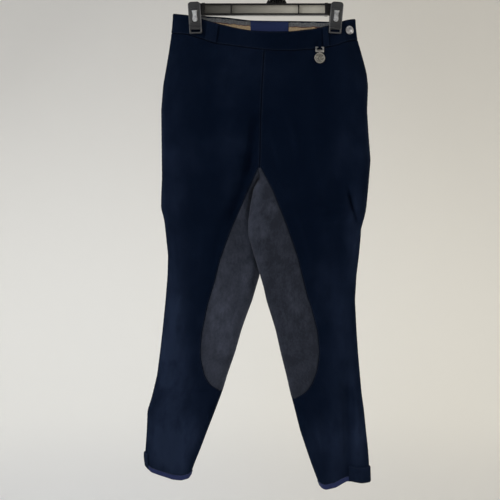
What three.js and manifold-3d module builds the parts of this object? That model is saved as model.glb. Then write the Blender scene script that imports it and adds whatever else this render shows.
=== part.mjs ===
// Riding breeches on a clip hanger, in millimetres. +Z is up, +X is to the right as the front is seen,
// and +Y points from the front of the garment to its back.
// The origin is the top of the inside of the hanger's hook, where a rail carries it.
// "Drop" is the distance straight down from there. Left and right are the wearer's.

import * as THREE from 'three';
import Module from 'manifold-3d';
import { mergeVertices } from 'three/addons/utils/BufferGeometryUtils.js';

const wasm = await Module();
wasm.setup();

// Cloth thicknesses and seams
const CLOTH = 1.5;
const SUEDE = 1.5;
const BAND = 2.0;
const SEAM_GAP = 0.3;
const RIBBON = 0.8;
const LABEL = 0.5;
const BINDING = 0.8;
const TAB = 1.6;
const LOOP = 1.2;
const LOOP_CLEAR = 0.6;

// Waistband
const WAIST_HALF_DEPTH = 3.2;
const FRONT_BOW = 14.5;
const BACK_BOW = 8.5;
const BOW_CENTRE_X = -22.5;
const BOW_HALF_SPAN = 123;
const END_TURN_START_X = 135;
const END_TURN_EASE = 12;
const END_TURN_SLOPE = 0.6;
const WAIST_BLEND = 150;

// Rows of the body: where the waist's curve and the hem's slant fade out, and where the legs part
const FIRST_ROW = 150;
const WAIST_CURVE_END = 306;
const HEM_SLANT_START = 906;
const FORK_DROP = 442;
const FORK_DEPTH = 45;
const PATCH_TOP = 421;
const PATCH_TOE = 1;

// Hanger
const BAR_TOP = 93.8;
const BAR_HEIGHT = 23;
const BAR_DEPTH = 12;
const BAR_START_X = -146;
const BAR_END_X = 99.4;
const FLANGE = 3.2;
const WEB = 3;
const HOOK_WIRE = 3.4;
const HOOK_INNER = 20;
const GUSSET_TOP = 52;

// Clips
const CLIP_HEIGHT = 65;
const CLIP_WIDTH = 25;
const JAW = 3.4;
const JAW_GRIP_Y = 3.9;
const SPRING_WIDTH = 11;
const SPRING = 0.8;

// Button, charm and zip
const BUTTON_RADIUS = 8.8;
const BUTTON_X = 144.8;
const BUTTON_DROP = 146.4;
const CHARM_X = 85.6;
const CHARM_AXIS_DROP = 181.8;
const CHARM_DISC_RADIUS = 10.6;
const ZIP_END = 330;
const ZIP_WIDTH = 5;
const ZIP_BACK = 7;
const ZIP_CLEAR = 0.5;
const ZIP_THICK = 1;
const SLIDER_DROP = 174;

function table(columns, rows) {
  const names = columns.split(' ');
  return rows.map((row) => Object.fromEntries(names.map((name, i) => [name, row[i]])));
}

function look(rows, key, at, value) {
  if (at <= rows[0][key]) return rows[0][value];
  for (let i = 1; i < rows.length; i += 1) {
    const low = rows[i - 1];
    const high = rows[i];
    if (at <= high[key]) {
      const part = (at - low[key]) / (high[key] - low[key]);
      return low[value] + part * (high[value] - low[value]);
    }
  }
  return rows[rows.length - 1][value];
}

const mix = (a, b, part) => a + (b - a) * part;
const clamp = (value, low, high) => Math.min(high, Math.max(low, value));
const smooth = (value) => {
  const part = clamp(value, 0, 1);
  return part * part * (3 - 2 * part);
};

// Edges of the waistband: the front hangs lower between the clips, and the back shows above it
const FRONT_TOP = table('x drop', [
  [-206, 115], [-176, 117], [-149, 124], [-115, 134], [-81, 143], [-52, 149], [-17, 151], [26, 150],
  [76, 143], [103, 137], [132, 128.5], [158, 126],
]);
const FRONT_SEAM = table('x drop', [
  [-206, 153], [-177, 155], [-149, 163], [-119, 174], [-81, 180], [-53, 185], [-10, 190], [26, 190],
  [73, 185], [105, 179], [132, 170], [161, 163],
]);
const BACK_TOP = table('x drop', [
  [-206, 115], [-176, 117], [-101, 121.5], [-53, 127], [29, 128.5], [103, 130], [132, 128.5], [158, 126],
]);
const BACK_SEAM = table('x drop', [
  [-206, 153], [-176, 156], [-101, 161], [-53, 166.5], [29, 168], [103, 169], [132, 167.5], [161, 163],
]);

// Side seams, as seen from the front, and the edges towards the other leg
const RIGHT_OUTSIDE = table('drop x', [
  [115, -206], [154, -209], [206, -217], [256, -225], [306, -229], [442, -228], [476, -230], [502, -231],
  [516, -227], [530, -224], [558, -221], [596, -217], [636, -218], [686, -222], [746, -228], [790, -233],
  [836, -239], [870, -247], [888, -252], [906, -258], [946, -259.5], [982, -262], [1000, -263], [1018, -260],
]);
const LEFT_OUTSIDE = table('drop x', [
  [126, 158], [163, 162], [180, 168], [206, 175], [230, 180], [256, 182], [306, 180.5], [356, 184],
  [406, 188], [442, 185], [466, 183], [502, 179.5], [516, 177], [530, 173], [544, 169], [558, 168.5],
  [596, 165], [636, 160], [686, 157], [746, 160], [790, 163], [836, 167], [870, 170], [906, 175],
  [946, 179], [982, 183], [1010, 185], [1050, 186],
]);
const CENTRE_SEAM = table('drop x', [
  [120, -23], [190, -25], [256, -29], [326, -32], [406, -33.5], [442, -35],
]);
const RIGHT_INSIDE = table('drop x', [
  [442, -35], [454, -41.6], [467, -47.4], [502, -45], [530, -37], [558, -33], [596, -32], [636, -33.8],
  [660, -41], [686, -48.6], [716, -60], [746, -70.5], [790, -83], [836, -99], [870, -109], [906, -122.5],
  [946, -138], [982, -151.5], [1010, -163], [1032, -171],
]);
const LEFT_INSIDE = table('drop x', [
  [442, -35], [454, -41], [467, -46.6], [502, -53], [530, -56.5], [558, -56], [596, -44.5], [636, -32.6],
  [660, -25.6], [686, -20], [716, -10.6], [746, -1.4], [790, 8.4], [836, 20], [870, 27.6], [906, 37],
  [946, 47], [982, 59], [1010, 68.5], [1042, 80.5], [1056, 87],
]);

// Front-to-back half depth, how far round the folded edges are, and how far the inner thighs pass each other
const DEPTHS = table('drop half outer_round inner_round pass', [
  [115, 4, 3.4, 24, 0], [163, 9, 3.6, 24, 0], [206, 15, 10, 24, 0], [256, 19, 16, 24, 0], [306, 22, 20, 24, 0],
  [356, 24, 24, 24, 0], [442, 24, 24, 24, 0], [454, 23, 24, 24, 3.5], [467, 22, 24, 24, 8],
  [502, 20, 24, 24, 13], [530, 18.5, 23, 24, 17], [558, 18, 22, 23, 17.5], [596, 17, 21, 22, 15],
  [636, 16.5, 20, 22, 11], [686, 16.5, 20, 20, 6], [746, 16.5, 20, 20, 2], [790, 16, 19, 19, 0],
  [906, 13, 16, 16, 0], [982, 11, 14, 14, 0], [1060, 12, 13, 13, 0],
]);

// Front edge of the suede on each leg, from the fork to the knee
const RIGHT_PATCH = table('drop x', [
  [421, -35], [467, -56], [542, -89], [605, -112], [646, -122], [692, -136], [749, -148], [785, -151],
  [803, -150], [835, -143], [853, -132], [861, -121], [865, -110],
]);
const LEFT_PATCH = table('drop x', [
  [421, -33], [467, -8], [536, 20], [599, 43], [681, 62], [696, 68], [746, 80], [789, 84.5], [824, 80],
  [851, 70], [866, 60], [876, 47], [881, 33],
]);
// Back edge of the suede, as a share of the leg's width out from the centre
const SEAT_EDGE = table('drop share', [
  [250, 0.1], [262, 0.3], [285, 0.48], [330, 0.62], [400, 0.68], [480, 0.66], [560, 0.62], [680, 0.58],
  [760, 0.54], [800, 0.48], [840, 0.34], [858, 0.2], [866, 0.06],
]);

// Lower edges of the hems, from the inseam at share 0 to the side seam at share 1
const RIGHT_HEM = table('share drop', [
  [0, 1028], [0.04, 1037], [0.21, 1044], [0.4, 1042.5], [0.69, 1034], [0.88, 1028], [1, 1018],
]);
const LEFT_HEM = table('share drop', [
  [0, 1051], [0.04, 1058], [0.135, 1062.5], [0.31, 1058], [0.465, 1050], [0.55, 1046.5], [0.645, 1046.5],
  [0.83, 1050], [1, 1048.5],
]);

// Largest folds: a soft line from one end to the other, its height outward and its half width
const FOLDS = table('side face x1 drop1 x2 drop2 height half_width', [
  ['right', 'front', -42, 340, -56, 420, -9, 11],
  ['right', 'front', -56, 420, -84, 510, -7, 12],
  ['left', 'front', 151, 452, 156, 520, -7, 7],
  ['left', 'front', 166, 470, 170, 505, 2.5, 9],
  ['left', 'front', 140, 870, 143, 1030, -6, 11],
  ['left', 'front', 118, 760, 122, 980, 2.5, 16],
  ['right', 'front', -196, 640, -226, 880, 3, 18],
  ['right', 'front', -170, 880, -206, 1010, -2.5, 14],
  ['right', 'front', -190, 250, -196, 500, 2.5, 22],
  ['left', 'front', 60, 260, 96, 560, 2.5, 26],
  ['right', 'back', -150, 430, -205, 520, -6, 13],
  ['left', 'back', 96, 420, 150, 540, -6, 13],
  ['right', 'back', -90, 860, -118, 900, -3, 12],
  ['left', 'back', 60, 820, 108, 900, -4, 12],
  ['left', 'back', 120, 900, 140, 1020, -4, 12],
  ['right', 'back', -180, 930, -206, 1010, 3, 14],
]);

// Drops of the rows of points down each leg
const SHARED_ROWS = [
  FIRST_ROW, 180, 215, 249, 252, 290, 330, 370, 397, 412, PATCH_TOP, PATCH_TOP + 2, 436, 440, FORK_DROP,
  454, 472, 502, 516, 530, 558, 596, 636, 686, 746, 790,
];
const SIDES = {
  right: {
    sign: -1, outside: RIGHT_OUTSIDE, inside: RIGHT_INSIDE, patch: RIGHT_PATCH, hem: RIGHT_HEM, pass: 1,
    cornerX: -206, patchEnd: 865, rows: [...SHARED_ROWS, 822, 845, 859, 865, 867, 906, 945, 975],
    hemRow: 1040, hemRises: [36, 22, 9, 0], tabFront: 20, tabBack: 34,
  },
  left: {
    sign: 1, outside: LEFT_OUTSIDE, inside: LEFT_INSIDE, patch: LEFT_PATCH, hem: LEFT_HEM, pass: -1,
    cornerX: 158, patchEnd: 881, rows: [...SHARED_ROWS, 824, 851, 870, 881, 883, 908, 946, 985],
    hemRow: 1050, hemRises: [32, 20, 9, 0], tabFront: 47, tabBack: 26,
  },
};

for (const side of Object.values(SIDES)) {
  side.rows.push(...side.hemRises.map((rise) => side.hemRow - rise));
}

function foldHeight(sideName, face, x, drop) {
  let height = 0;
  for (const fold of FOLDS) {
    if (fold.side === sideName && fold.face === face) {
      const alongX = fold.x2 - fold.x1;
      const alongDrop = fold.drop2 - fold.drop1;
      const length = Math.hypot(alongX, alongDrop);
      const along = ((x - fold.x1) * alongX + (drop - fold.drop1) * alongDrop) / length;
      const across = ((x - fold.x1) * alongDrop - (drop - fold.drop1) * alongX) / length;
      const beyond = Math.max(0, -along, along - length) / (2 * fold.half_width);
      height += fold.height * Math.exp(-((across / fold.half_width) ** 2) - beyond ** 2);
    }
  }
  return height;
}

// One ring of the garment at one level: the front from the centre to the side, then the back to the centre
function ring(sideName, level) {
  const side = SIDES[sideName];
  const endRow = side.hemRow;
  const isBand = level.band !== undefined;
  const nominal = isBand ? FIRST_ROW : level.drop;

  const dropAt = (share, face) => {
    const x = mix(-24, side.cornerX, share);
    const seam = look(face === 'front' ? FRONT_SEAM : BACK_SEAM, 'x', x, 'drop');
    if (isBand) {
      const top = look(face === 'front' ? FRONT_TOP : BACK_TOP, 'x', x, 'drop');
      return mix(top, seam - SEAM_GAP, level.band);
    }
    if (nominal < WAIST_CURVE_END) {
      const fade = 1 - smooth((nominal - FIRST_ROW) / (WAIST_CURVE_END - FIRST_ROW));
      return nominal + (seam - FIRST_ROW) * fade;
    }
    if (nominal > HEM_SLANT_START) {
      const hem = look(side.hem, 'share', share, 'drop');
      return mix(HEM_SLANT_START, hem, (nominal - HEM_SLANT_START) / (endRow - HEM_SLANT_START));
    }
    return nominal;
  };
  const insideX = (drop) => {
    const gap = (SEAM_GAP + 0.2) / 2 * side.sign;
    return (drop < FORK_DROP ? look(CENTRE_SEAM, 'drop', drop, 'x') : look(side.inside, 'drop', drop, 'x')) + gap;
  };

  const aboveFork = clamp((FORK_DROP - nominal) / FORK_DEPTH, 0, 1);
  const open = Math.sqrt(1 - (1 - aboveFork) ** 2);
  const outerRound = look(DEPTHS, 'drop', nominal, 'outer_round');
  const innerRound = look(DEPTHS, 'drop', nominal, 'inner_round');
  const width = Math.abs(look(side.outside, 'drop', nominal, 'x') - insideX(nominal));

  const shares = [];
  const arcSteps = 8;
  const flatSteps = 30;
  for (let i = 0; i <= arcSteps; i += 1) {
    shares.push(innerRound * (1 - Math.cos((i / arcSteps) * Math.PI / 2)) / width);
  }
  for (let i = 1; i < flatSteps; i += 1) {
    shares.push(mix(innerRound, width - outerRound, i / flatSteps) / width);
  }
  for (let i = arcSteps; i >= 0; i -= 1) {
    shares.push(1 - outerRound * (1 - Math.cos((i / arcSteps) * Math.PI / 2)) / width);
  }

  const point = (share, face) => {
    const drop = dropAt(share, face);
    const x = mix(insideX(drop), look(side.outside, 'drop', drop, 'x'), share);
    const fromInner = share * width;
    const fromOuter = (1 - share) * width;
    const outerEnd = fromOuter < outerRound ? Math.sqrt(1 - (1 - fromOuter / outerRound) ** 2) : 1;
    const innerEnd = fromInner < innerRound ? Math.sqrt(1 - (1 - fromInner / innerRound) ** 2) : 1;
    const seamDrop = look(face === 'front' ? FRONT_SEAM : BACK_SEAM, 'x', x, 'drop');
    const body = isBand ? 0 : smooth((drop - seamDrop) / WAIST_BLEND);
    const spread = clamp(1 - ((x - BOW_CENTRE_X) / BOW_HALF_SPAN) ** 2, 0, 1) ** 1.5;
    const atWaist = WAIST_HALF_DEPTH + (face === 'front' ? FRONT_BOW : BACK_BOW) * spread;
    const seat = face === 'back' ? 1 + 0.2 * smooth((FORK_DROP - drop) / 120) : 1;
    const atBody = look(DEPTHS, 'drop', drop, 'half') * (1 - 0.2 * share ** 2) * seat;
    const half = mix(atWaist, atBody, body) + foldHeight(sideName, face, x, drop) * body * outerEnd;
    const deep = half * outerEnd * (open + (1 - open) * innerEnd);
    const past = Math.max(0, x - END_TURN_START_X);
    const eased = past < END_TURN_EASE ? past ** 2 / (2 * END_TURN_EASE) : past - END_TURN_EASE / 2;
    const turned = END_TURN_SLOPE * eased * (1 - body);
    const middle = side.pass * look(DEPTHS, 'drop', drop, 'pass') * (1 - share) ** 2 + turned;
    return { x, drop, y: middle + (face === 'front' ? -deep : deep), share };
  };

  const points = [];
  for (const share of shares) {
    points.push(point(share, 'front'));
  }
  const sideIndex = points.length - 1;
  for (const share of shares.slice(0, -1).reverse()) {
    points.push(point(share, 'back'));
  }
  const lengths = [0];
  for (let i = 1; i < points.length; i += 1) {
    lengths.push(lengths[i - 1] + Math.hypot(points[i].x - points[i - 1].x, points[i].y - points[i - 1].y));
  }
  return { sideName, points, lengths, sideIndex, closed: open === 0 };
}

const sideLength = (loop) => loop.lengths[loop.sideIndex];
const fullLength = (loop) => loop.lengths[loop.lengths.length - 1];

function atLength(loop, at) {
  const { points, lengths } = loop;
  const full = fullLength(loop);
  const wanted = loop.closed ? (at + full) % full : clamp(at, 0, full);
  let i = 1;
  while (i < lengths.length - 1 && lengths[i] < wanted) i += 1;
  const part = (wanted - lengths[i - 1]) / (lengths[i] - lengths[i - 1]);
  const low = points[i - 1];
  const high = points[i];
  return { x: mix(low.x, high.x, part), y: mix(low.y, high.y, part), drop: mix(low.drop, high.drop, part) };
}

// A point of the ring moved inward along its level normal; a negative depth moves it outward
function moved(loop, at, depth) {
  const reach = 0.8;
  const here = atLength(loop, at);
  const before = atLength(loop, at - reach);
  const after = atLength(loop, at + reach);
  const alongX = after.x - before.x;
  const alongY = after.y - before.y;
  const length = Math.hypot(alongX, alongY);
  const turn = loop.sideName === 'left' ? 1 : -1;
  const x = here.x - turn * depth * alongY / length;
  const y = here.y + turn * depth * alongX / length;
  return new THREE.Vector3(x, y, -here.drop);
}

function lengthAtX(loop, x, face) {
  const { points, lengths, sideIndex } = loop;
  const first = face === 'front' ? 0 : sideIndex;
  const last = face === 'front' ? sideIndex : points.length - 1;
  for (let i = first + 1; i <= last; i += 1) {
    const low = points[i - 1].x;
    const high = points[i].x;
    if ((low - x) * (high - x) <= 0 && low !== high) {
      return mix(lengths[i - 1], lengths[i], (x - low) / (high - low));
    }
  }
  const nearFirst = Math.abs(points[first].x - x) < Math.abs(points[last].x - x);
  return lengths[nearFirst ? first : last];
}

function lengthAtShare(loop, share) {
  const { points, lengths, sideIndex } = loop;
  for (let i = sideIndex + 1; i < points.length; i += 1) {
    if (points[i].share <= share) {
      const part = (points[i - 1].share - share) / (points[i - 1].share - points[i].share);
      return mix(lengths[i - 1], lengths[i], part);
    }
  }
  return fullLength(loop);
}

function closedMesh(positions, triangles) {
  let volume = 0;
  for (const [a, b, c] of triangles) {
    volume += positions[a].dot(new THREE.Vector3().crossVectors(positions[b], positions[c]));
  }
  const geometry = new THREE.BufferGeometry();
  geometry.setAttribute('position', new THREE.Float32BufferAttribute(positions.flatMap((p) => [p.x, p.y, p.z]), 3));
  geometry.setIndex(triangles.flatMap(([a, b, c]) => (volume > 0 ? [a, b, c] : [a, c, b])));
  return geometry;
}

// A cloth wall between two grids of points, closed at its four edges
function wall(outer, inner) {
  const rows = outer.length;
  const columns = outer[0].length;
  const positions = [...outer.flat(), ...inner.flat()];
  const at = (row, column, layer) => layer * rows * columns + row * columns + column;
  const triangles = [];
  const quad = (a, b, c, d) => {
    triangles.push([a, b, c]);
    triangles.push([a, c, d]);
  };
  for (let r = 0; r < rows - 1; r += 1) {
    for (let c = 0; c < columns - 1; c += 1) {
      quad(at(r, c, 0), at(r, c + 1, 0), at(r + 1, c + 1, 0), at(r + 1, c, 0));
      quad(at(r, c, 1), at(r + 1, c, 1), at(r + 1, c + 1, 1), at(r, c + 1, 1));
    }
    quad(at(r, 0, 0), at(r + 1, 0, 0), at(r + 1, 0, 1), at(r, 0, 1));
    quad(at(r, columns - 1, 0), at(r, columns - 1, 1), at(r + 1, columns - 1, 1), at(r + 1, columns - 1, 0));
  }
  for (let c = 0; c < columns - 1; c += 1) {
    quad(at(0, c, 0), at(0, c, 1), at(0, c + 1, 1), at(0, c + 1, 0));
    quad(at(rows - 1, c, 0), at(rows - 1, c + 1, 0), at(rows - 1, c + 1, 1), at(rows - 1, c, 1));
  }
  return closedMesh(positions, triangles);
}

// Columns gather at the folded edges, where the cloth turns round quickly
function columnParts(count, foldAtStart, foldAtEnd) {
  const parts = [];
  for (let i = 0; i <= count; i += 1) {
    const even = i / count;
    let gathered = even;
    if (foldAtStart && foldAtEnd) gathered = (1 - Math.cos(Math.PI * even)) / 2;
    else if (foldAtStart) gathered = 1 - Math.cos(Math.PI / 2 * even);
    else if (foldAtEnd) gathered = Math.sin(Math.PI / 2 * even);
    parts.push(mix(even, gathered, 0.75));
  }
  return parts;
}

const FRONT_PARTS = columnParts(12, true, true);
const BACK_PARTS = columnParts(9, true, false);

// A wall cut from the rings between two lengths round each of them
function clothPiece(loops, parts, limits, outerDepth, innerDepth) {
  const outer = [];
  const inner = [];
  for (const loop of loops) {
    const [start, end] = limits(loop);
    outer.push(parts.map((part) => moved(loop, mix(start, end, part), outerDepth)));
    inner.push(parts.map((part) => moved(loop, mix(start, end, part), innerDepth)));
  }
  return wall(outer, inner);
}

const colours = {
  navy: 0x10141f, suede: 0x34343d, ribbon: 0x8f887f, label: 0x1c2748, binding: 0x24286a, plastic: 0x0c0c0e,
  steel: 0xc4c6ca, pewter: 0xa9abad,
};
const breeches = new THREE.Group();

function addMesh(name, geometry, finish, parent = breeches) {
  const metal = finish === 'steel' || finish === 'pewter';
  const material = new THREE.MeshStandardMaterial({
    color: colours[finish], roughness: metal || finish === 'plastic' ? 0.3 : 0.9, metalness: metal ? 1 : 0,
  });
  const mesh = new THREE.Mesh(geometry, material);
  mesh.name = name;
  parent.add(mesh);
  return mesh;
}

// Fronts, backs, thigh patches and seat patches
function legPieces(sideName) {
  const side = SIDES[sideName];
  const loops = side.rows.map((drop) => ({ ...ring(sideName, { drop }), nominal: drop }));
  const half = SEAM_GAP / 2;
  const hasPatch = (loop) => loop.nominal >= PATCH_TOP + 2 && loop.nominal <= side.patchEnd;
  const seatTop = 252;
  const seatRow = (loop) => loop.nominal >= seatTop && loop.nominal <= side.patchEnd;

  const patchLength = (loop) => {
    if (!hasPatch(loop)) return 0;
    const at = lengthAtX(loop, look(side.patch, 'drop', loop.nominal, 'x'), 'front');
    return Math.max(at, PATCH_TOE);
  };
  const seatLength = (loop) => {
    const stretch = side.patchEnd / 866;
    const nominal = loop.nominal > FORK_DROP ? FORK_DROP + (loop.nominal - FORK_DROP) / stretch : loop.nominal;
    const at = lengthAtShare(loop, look(SEAT_EDGE, 'drop', nominal, 'share'));
    return seatRow(loop) ? Math.min(at, fullLength(loop) - PATCH_TOE) : fullLength(loop);
  };

  addMesh(`front_${sideName}`, clothPiece(loops, FRONT_PARTS, (loop) => (
    [patchLength(loop) + half, sideLength(loop) - half]), 0, CLOTH), 'navy');
  addMesh(`back_${sideName}`, clothPiece(loops, BACK_PARTS, (loop) => (
    [sideLength(loop) + half, seatLength(loop) - half]), 0, CLOTH), 'navy');
  addMesh(`thigh_patch_${sideName}`, clothPiece(loops.filter(hasPatch), columnParts(5, true, false), (loop) => (
    [half, patchLength(loop) - half]), 0, SUEDE), 'suede');
  addMesh(`seat_patch_${sideName}`, clothPiece(loops.filter(seatRow), columnParts(7, false, true), (loop) => (
    [seatLength(loop) + half, fullLength(loop) - half]), 0, SUEDE), 'suede');
  return loops;
}

const BAND_LEVELS = [0, 0.34, 0.67, 1];
const RIBBON_LEVELS = [0.02, 0.34, 0.67, 0.98];

// A strip across both halves of the waist, with the columns of the panels below it; at each end it leaves
// out as many of them as trim says
function waistStrip(face, levels, trim, outerDepth, innerDepth) {
  const isFront = face === 'front';
  const half = SEAM_GAP / 2;
  const outer = [];
  const inner = [];
  for (const band of levels) {
    const places = [];
    for (const sideName of ['right', 'left']) {
      const loop = ring(sideName, { band });
      const start = isFront ? half : sideLength(loop) + half;
      const end = isFront ? sideLength(loop) - half : fullLength(loop);
      const parts = isFront ? FRONT_PARTS.slice(0, FRONT_PARTS.length - trim) : BACK_PARTS.slice(trim);
      const run = parts.map((part) => [loop, mix(start, end, part)]);
      const fromSide = isFront ? run.reverse() : run;
      places.push(...(sideName === 'right' ? fromSide : fromSide.reverse()));
    }
    outer.push(places.map(([loop, at]) => moved(loop, at, outerDepth)));
    inner.push(places.map(([loop, at]) => moved(loop, at, innerDepth)));
  }
  return wall(outer, inner);
}

function waistLabel(depth) {
  const outer = [];
  const inner = [];
  for (const band of [0.04, 0.45, 0.86]) {
    const right = ring('right', { band });
    const left = ring('left', { band });
    const places = [-52, -38, -26].map((x) => [right, lengthAtX(right, x, 'back')]);
    places.push(...[-22, -8, 8, 24.6].map((x) => [left, lengthAtX(left, x, 'back')]));
    outer.push(places.map(([loop, at]) => moved(loop, at, depth)));
    inner.push(places.map(([loop, at]) => moved(loop, at, depth + LABEL)));
  }
  return wall(outer, inner);
}

function waistband() {
  addMesh('waistband_front', waistStrip('front', BAND_LEVELS, 0, 0, BAND), 'navy');
  addMesh('waistband_back', waistStrip('back', BAND_LEVELS, 0, 0, BAND), 'navy');
  const ribbonDepth = BAND + SEAM_GAP;
  const ribbon = waistStrip('back', RIBBON_LEVELS, 2, ribbonDepth, ribbonDepth + RIBBON);
  addMesh('waist_ribbon', ribbon, 'ribbon');
  addMesh('waist_label', waistLabel(ribbonDepth + RIBBON + SEAM_GAP), 'label');
}

// Each belt loop is a strap tacked at both ends, standing a little off the band between them
const BELT_LOOPS = table('name side face x1 x2', [
  ['belt_loop_front_right', 'right', 'front', -139, -116],
  ['belt_loop_front_left', 'left', 'front', 92.8, 103],
  ['belt_loop_back_right', 'right', 'back', -139, -124],
  ['belt_loop_back_left', 'left', 'back', 74, 89],
]);
const LOOP_STAND = table('band stand', [[0.03, 0], [0.2, 1.2], [0.5, 1.7], [0.8, 1.2], [0.97, 0]]);

function beltLoops() {
  for (const strap of BELT_LOOPS) {
    const outer = [];
    const inner = [];
    for (const row of LOOP_STAND) {
      const loop = ring(strap.side, { band: row.band });
      const depth = -(LOOP_CLEAR + row.stand);
      const start = lengthAtX(loop, strap.x1, strap.face);
      const end = lengthAtX(loop, strap.x2, strap.face);
      const parts = [0, 0.5, 1];
      outer.push(parts.map((part) => moved(loop, mix(start, end, part), depth - LOOP)));
      inner.push(parts.map((part) => moved(loop, mix(start, end, part), depth)));
    }
    addMesh(strap.name, wall(outer, inner), 'navy');
  }
  const outer = [];
  const inner = [];
  for (const row of LOOP_STAND) {
    const depth = -(LOOP_CLEAR + row.stand);
    const places = [-7, 0, 7].map((offset) => {
      const loop = ring(offset < 0 ? 'right' : 'left', { band: row.band });
      return [loop, fullLength(loop) - Math.abs(offset)];
    });
    outer.push(places.map(([loop, at]) => moved(loop, at, depth - LOOP)));
    inner.push(places.map(([loop, at]) => moved(loop, at, depth)));
  }
  addMesh('belt_loop_back_centre', wall(outer, inner), 'navy');
}

// Hem binding round each ankle and the tab that closes over the side of it, on the panels' own columns
function ankleWall(loops, keep, outerDepth, innerDepth) {
  const half = SEAM_GAP / 2;
  const outer = [];
  const inner = [];
  for (const loop of loops) {
    const front = FRONT_PARTS.map((part) => mix(half, sideLength(loop) - half, part));
    const back = BACK_PARTS.map((part) => mix(sideLength(loop) + half, fullLength(loop) - half, part));
    const places = [...front, ...back].filter((at, index) => keep(index));
    outer.push(places.map((at) => moved(loop, at, outerDepth)));
    inner.push(places.map((at) => moved(loop, at, innerDepth)));
  }
  return wall(outer, inner);
}

function ankle(sideName) {
  const side = SIDES[sideName];
  const rowsAbove = (rises) => rises.map((rise) => ring(sideName, { drop: side.hemRow - rise }));
  const bindingOuter = -(SEAM_GAP + BINDING);
  const bindingRises = side.hemRises.slice(-2);
  const binding = ankleWall(rowsAbove(bindingRises), () => true, bindingOuter, -SEAM_GAP);
  addMesh(`hem_binding_${sideName}`, binding, 'binding');

  const tabInner = bindingOuter - SEAM_GAP;
  const hemLoop = ring(sideName, { drop: side.hemRow });
  const lengths = [
    ...FRONT_PARTS.map((part) => sideLength(hemLoop) * (part - 1)),
    ...BACK_PARTS.map((part) => (fullLength(hemLoop) - sideLength(hemLoop)) * part),
  ];
  const underTab = (index) => lengths[index] > -side.tabFront && lengths[index] < side.tabBack;
  const tab = ankleWall(rowsAbove(side.hemRises), underTab, tabInner - TAB, tabInner);
  addMesh(`ankle_tab_${sideName}`, tab, 'navy');
}

// Solids from closed outlines
function toSolid(geometry) {
  const bare = geometry.clone();
  bare.deleteAttribute('normal');
  bare.deleteAttribute('uv');
  const merged = mergeVertices(bare, 1e-4);
  return new wasm.Manifold(new wasm.Mesh({
    numProp: 3, vertProperties: new Float32Array(merged.attributes.position.array),
    triVerts: new Uint32Array(merged.index.array),
  }));
}

function fromSolid(solid) {
  const mesh = solid.getMesh();
  const geometry = new THREE.BufferGeometry();
  geometry.setAttribute('position', new THREE.BufferAttribute(new Float32Array(mesh.vertProperties), 3));
  geometry.setIndex(new THREE.BufferAttribute(new Uint32Array(mesh.triVerts), 1));
  return geometry;
}

const block = (sizeX, sizeY, sizeZ, x, y, z) => new THREE.BoxGeometry(sizeX, sizeY, sizeZ).translate(x, y, z);

// An outline of [y, z] points stretched along X, centred on x = 0
function acrossX(outline, width) {
  const shape = new THREE.Shape(outline.map(([y, z]) => new THREE.Vector2(y, z)));
  const geometry = new THREE.ExtrudeGeometry(shape, { depth: width, bevelEnabled: false });
  geometry.translate(0, 0, -width / 2);
  const turn = new THREE.Matrix4().set(0, 0, 1, 0, 1, 0, 0, 0, 0, 1, 0, 0, 0, 0, 0, 1);
  return geometry.applyMatrix4(turn);
}

// Hanger: a bar of I section with ribs, a fluted gusset under the hook, and a tongue through each clip
const GUSSET = table('drop half_width', [
  [BAR_TOP, 21], [89, 18.5], [85.8, 16.7], [78, 13.5], [68, 11], [GUSSET_TOP, 9],
]);
const BAR_RIBS = [-90.6, 44];

function hanger() {
  const top = -BAR_TOP;
  const length = BAR_END_X - BAR_START_X;
  const middleX = (BAR_END_X + BAR_START_X) / 2;
  const middleZ = top - BAR_HEIGHT / 2;
  const collarWidth = 6;
  const join = 0.5;
  const outline = GUSSET.map((row) => new THREE.Vector2(row.half_width, -row.drop - (row.drop === BAR_TOP ? join : 0)));
  const mirrored = outline.map((p) => new THREE.Vector2(-p.x, p.y)).reverse();
  const gussetShape = new THREE.Shape([...outline, ...mirrored]);
  const gusset = new THREE.ExtrudeGeometry(gussetShape, { depth: 6, bevelEnabled: false });
  gusset.applyMatrix4(new THREE.Matrix4().makeRotationX(Math.PI / 2)).translate(0, 3, 0);

  const pieces = [
    block(length, BAR_DEPTH, FLANGE, middleX, 0, top - FLANGE / 2),
    block(length, BAR_DEPTH, FLANGE, middleX, 0, top - BAR_HEIGHT + FLANGE / 2),
    block(length, WEB, BAR_HEIGHT - FLANGE, middleX, 0, middleZ),
    block(collarWidth, 16, BAR_HEIGHT + 1, BAR_START_X, 0, middleZ),
    block(collarWidth, 16, BAR_HEIGHT + 1, BAR_END_X, 0, middleZ),
    block(32, 8, 10, BAR_START_X - 15, 0, top - 4.5),
    block(32, 8, 10, BAR_END_X + 15, 0, top - 4.5),
  ];
  for (const x of BAR_RIBS) {
    pieces.push(block(2.4, BAR_DEPTH - 1, BAR_HEIGHT - FLANGE, x, 0, middleZ));
  }
  const flutes = 7;
  const fluteSpread = 36;
  for (let i = 0; i < flutes; i += 1) {
    const lean = (i / (flutes - 1) - 0.5) * 2;
    const flute = new THREE.CylinderGeometry(0.9, 1.6, 38, 6).rotateX(Math.PI / 2);
    flute.scale(1, 6.4, 1).rotateY(-Math.atan2(lean * fluteSpread * 0.22, 38));
    flute.translate(lean * fluteSpread * 0.29, 0, -(BAR_TOP + GUSSET_TOP) / 2 + 1);
    pieces.push(flute);
  }
  let solid = toSolid(gusset);
  solid = solid.intersect(toSolid(block(60, 20, 60, 0, 0, -80)));
  for (const piece of pieces) {
    solid = solid.add(toSolid(piece));
  }
  addMesh('hanger_bar', fromSolid(solid), 'plastic');
}

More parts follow.
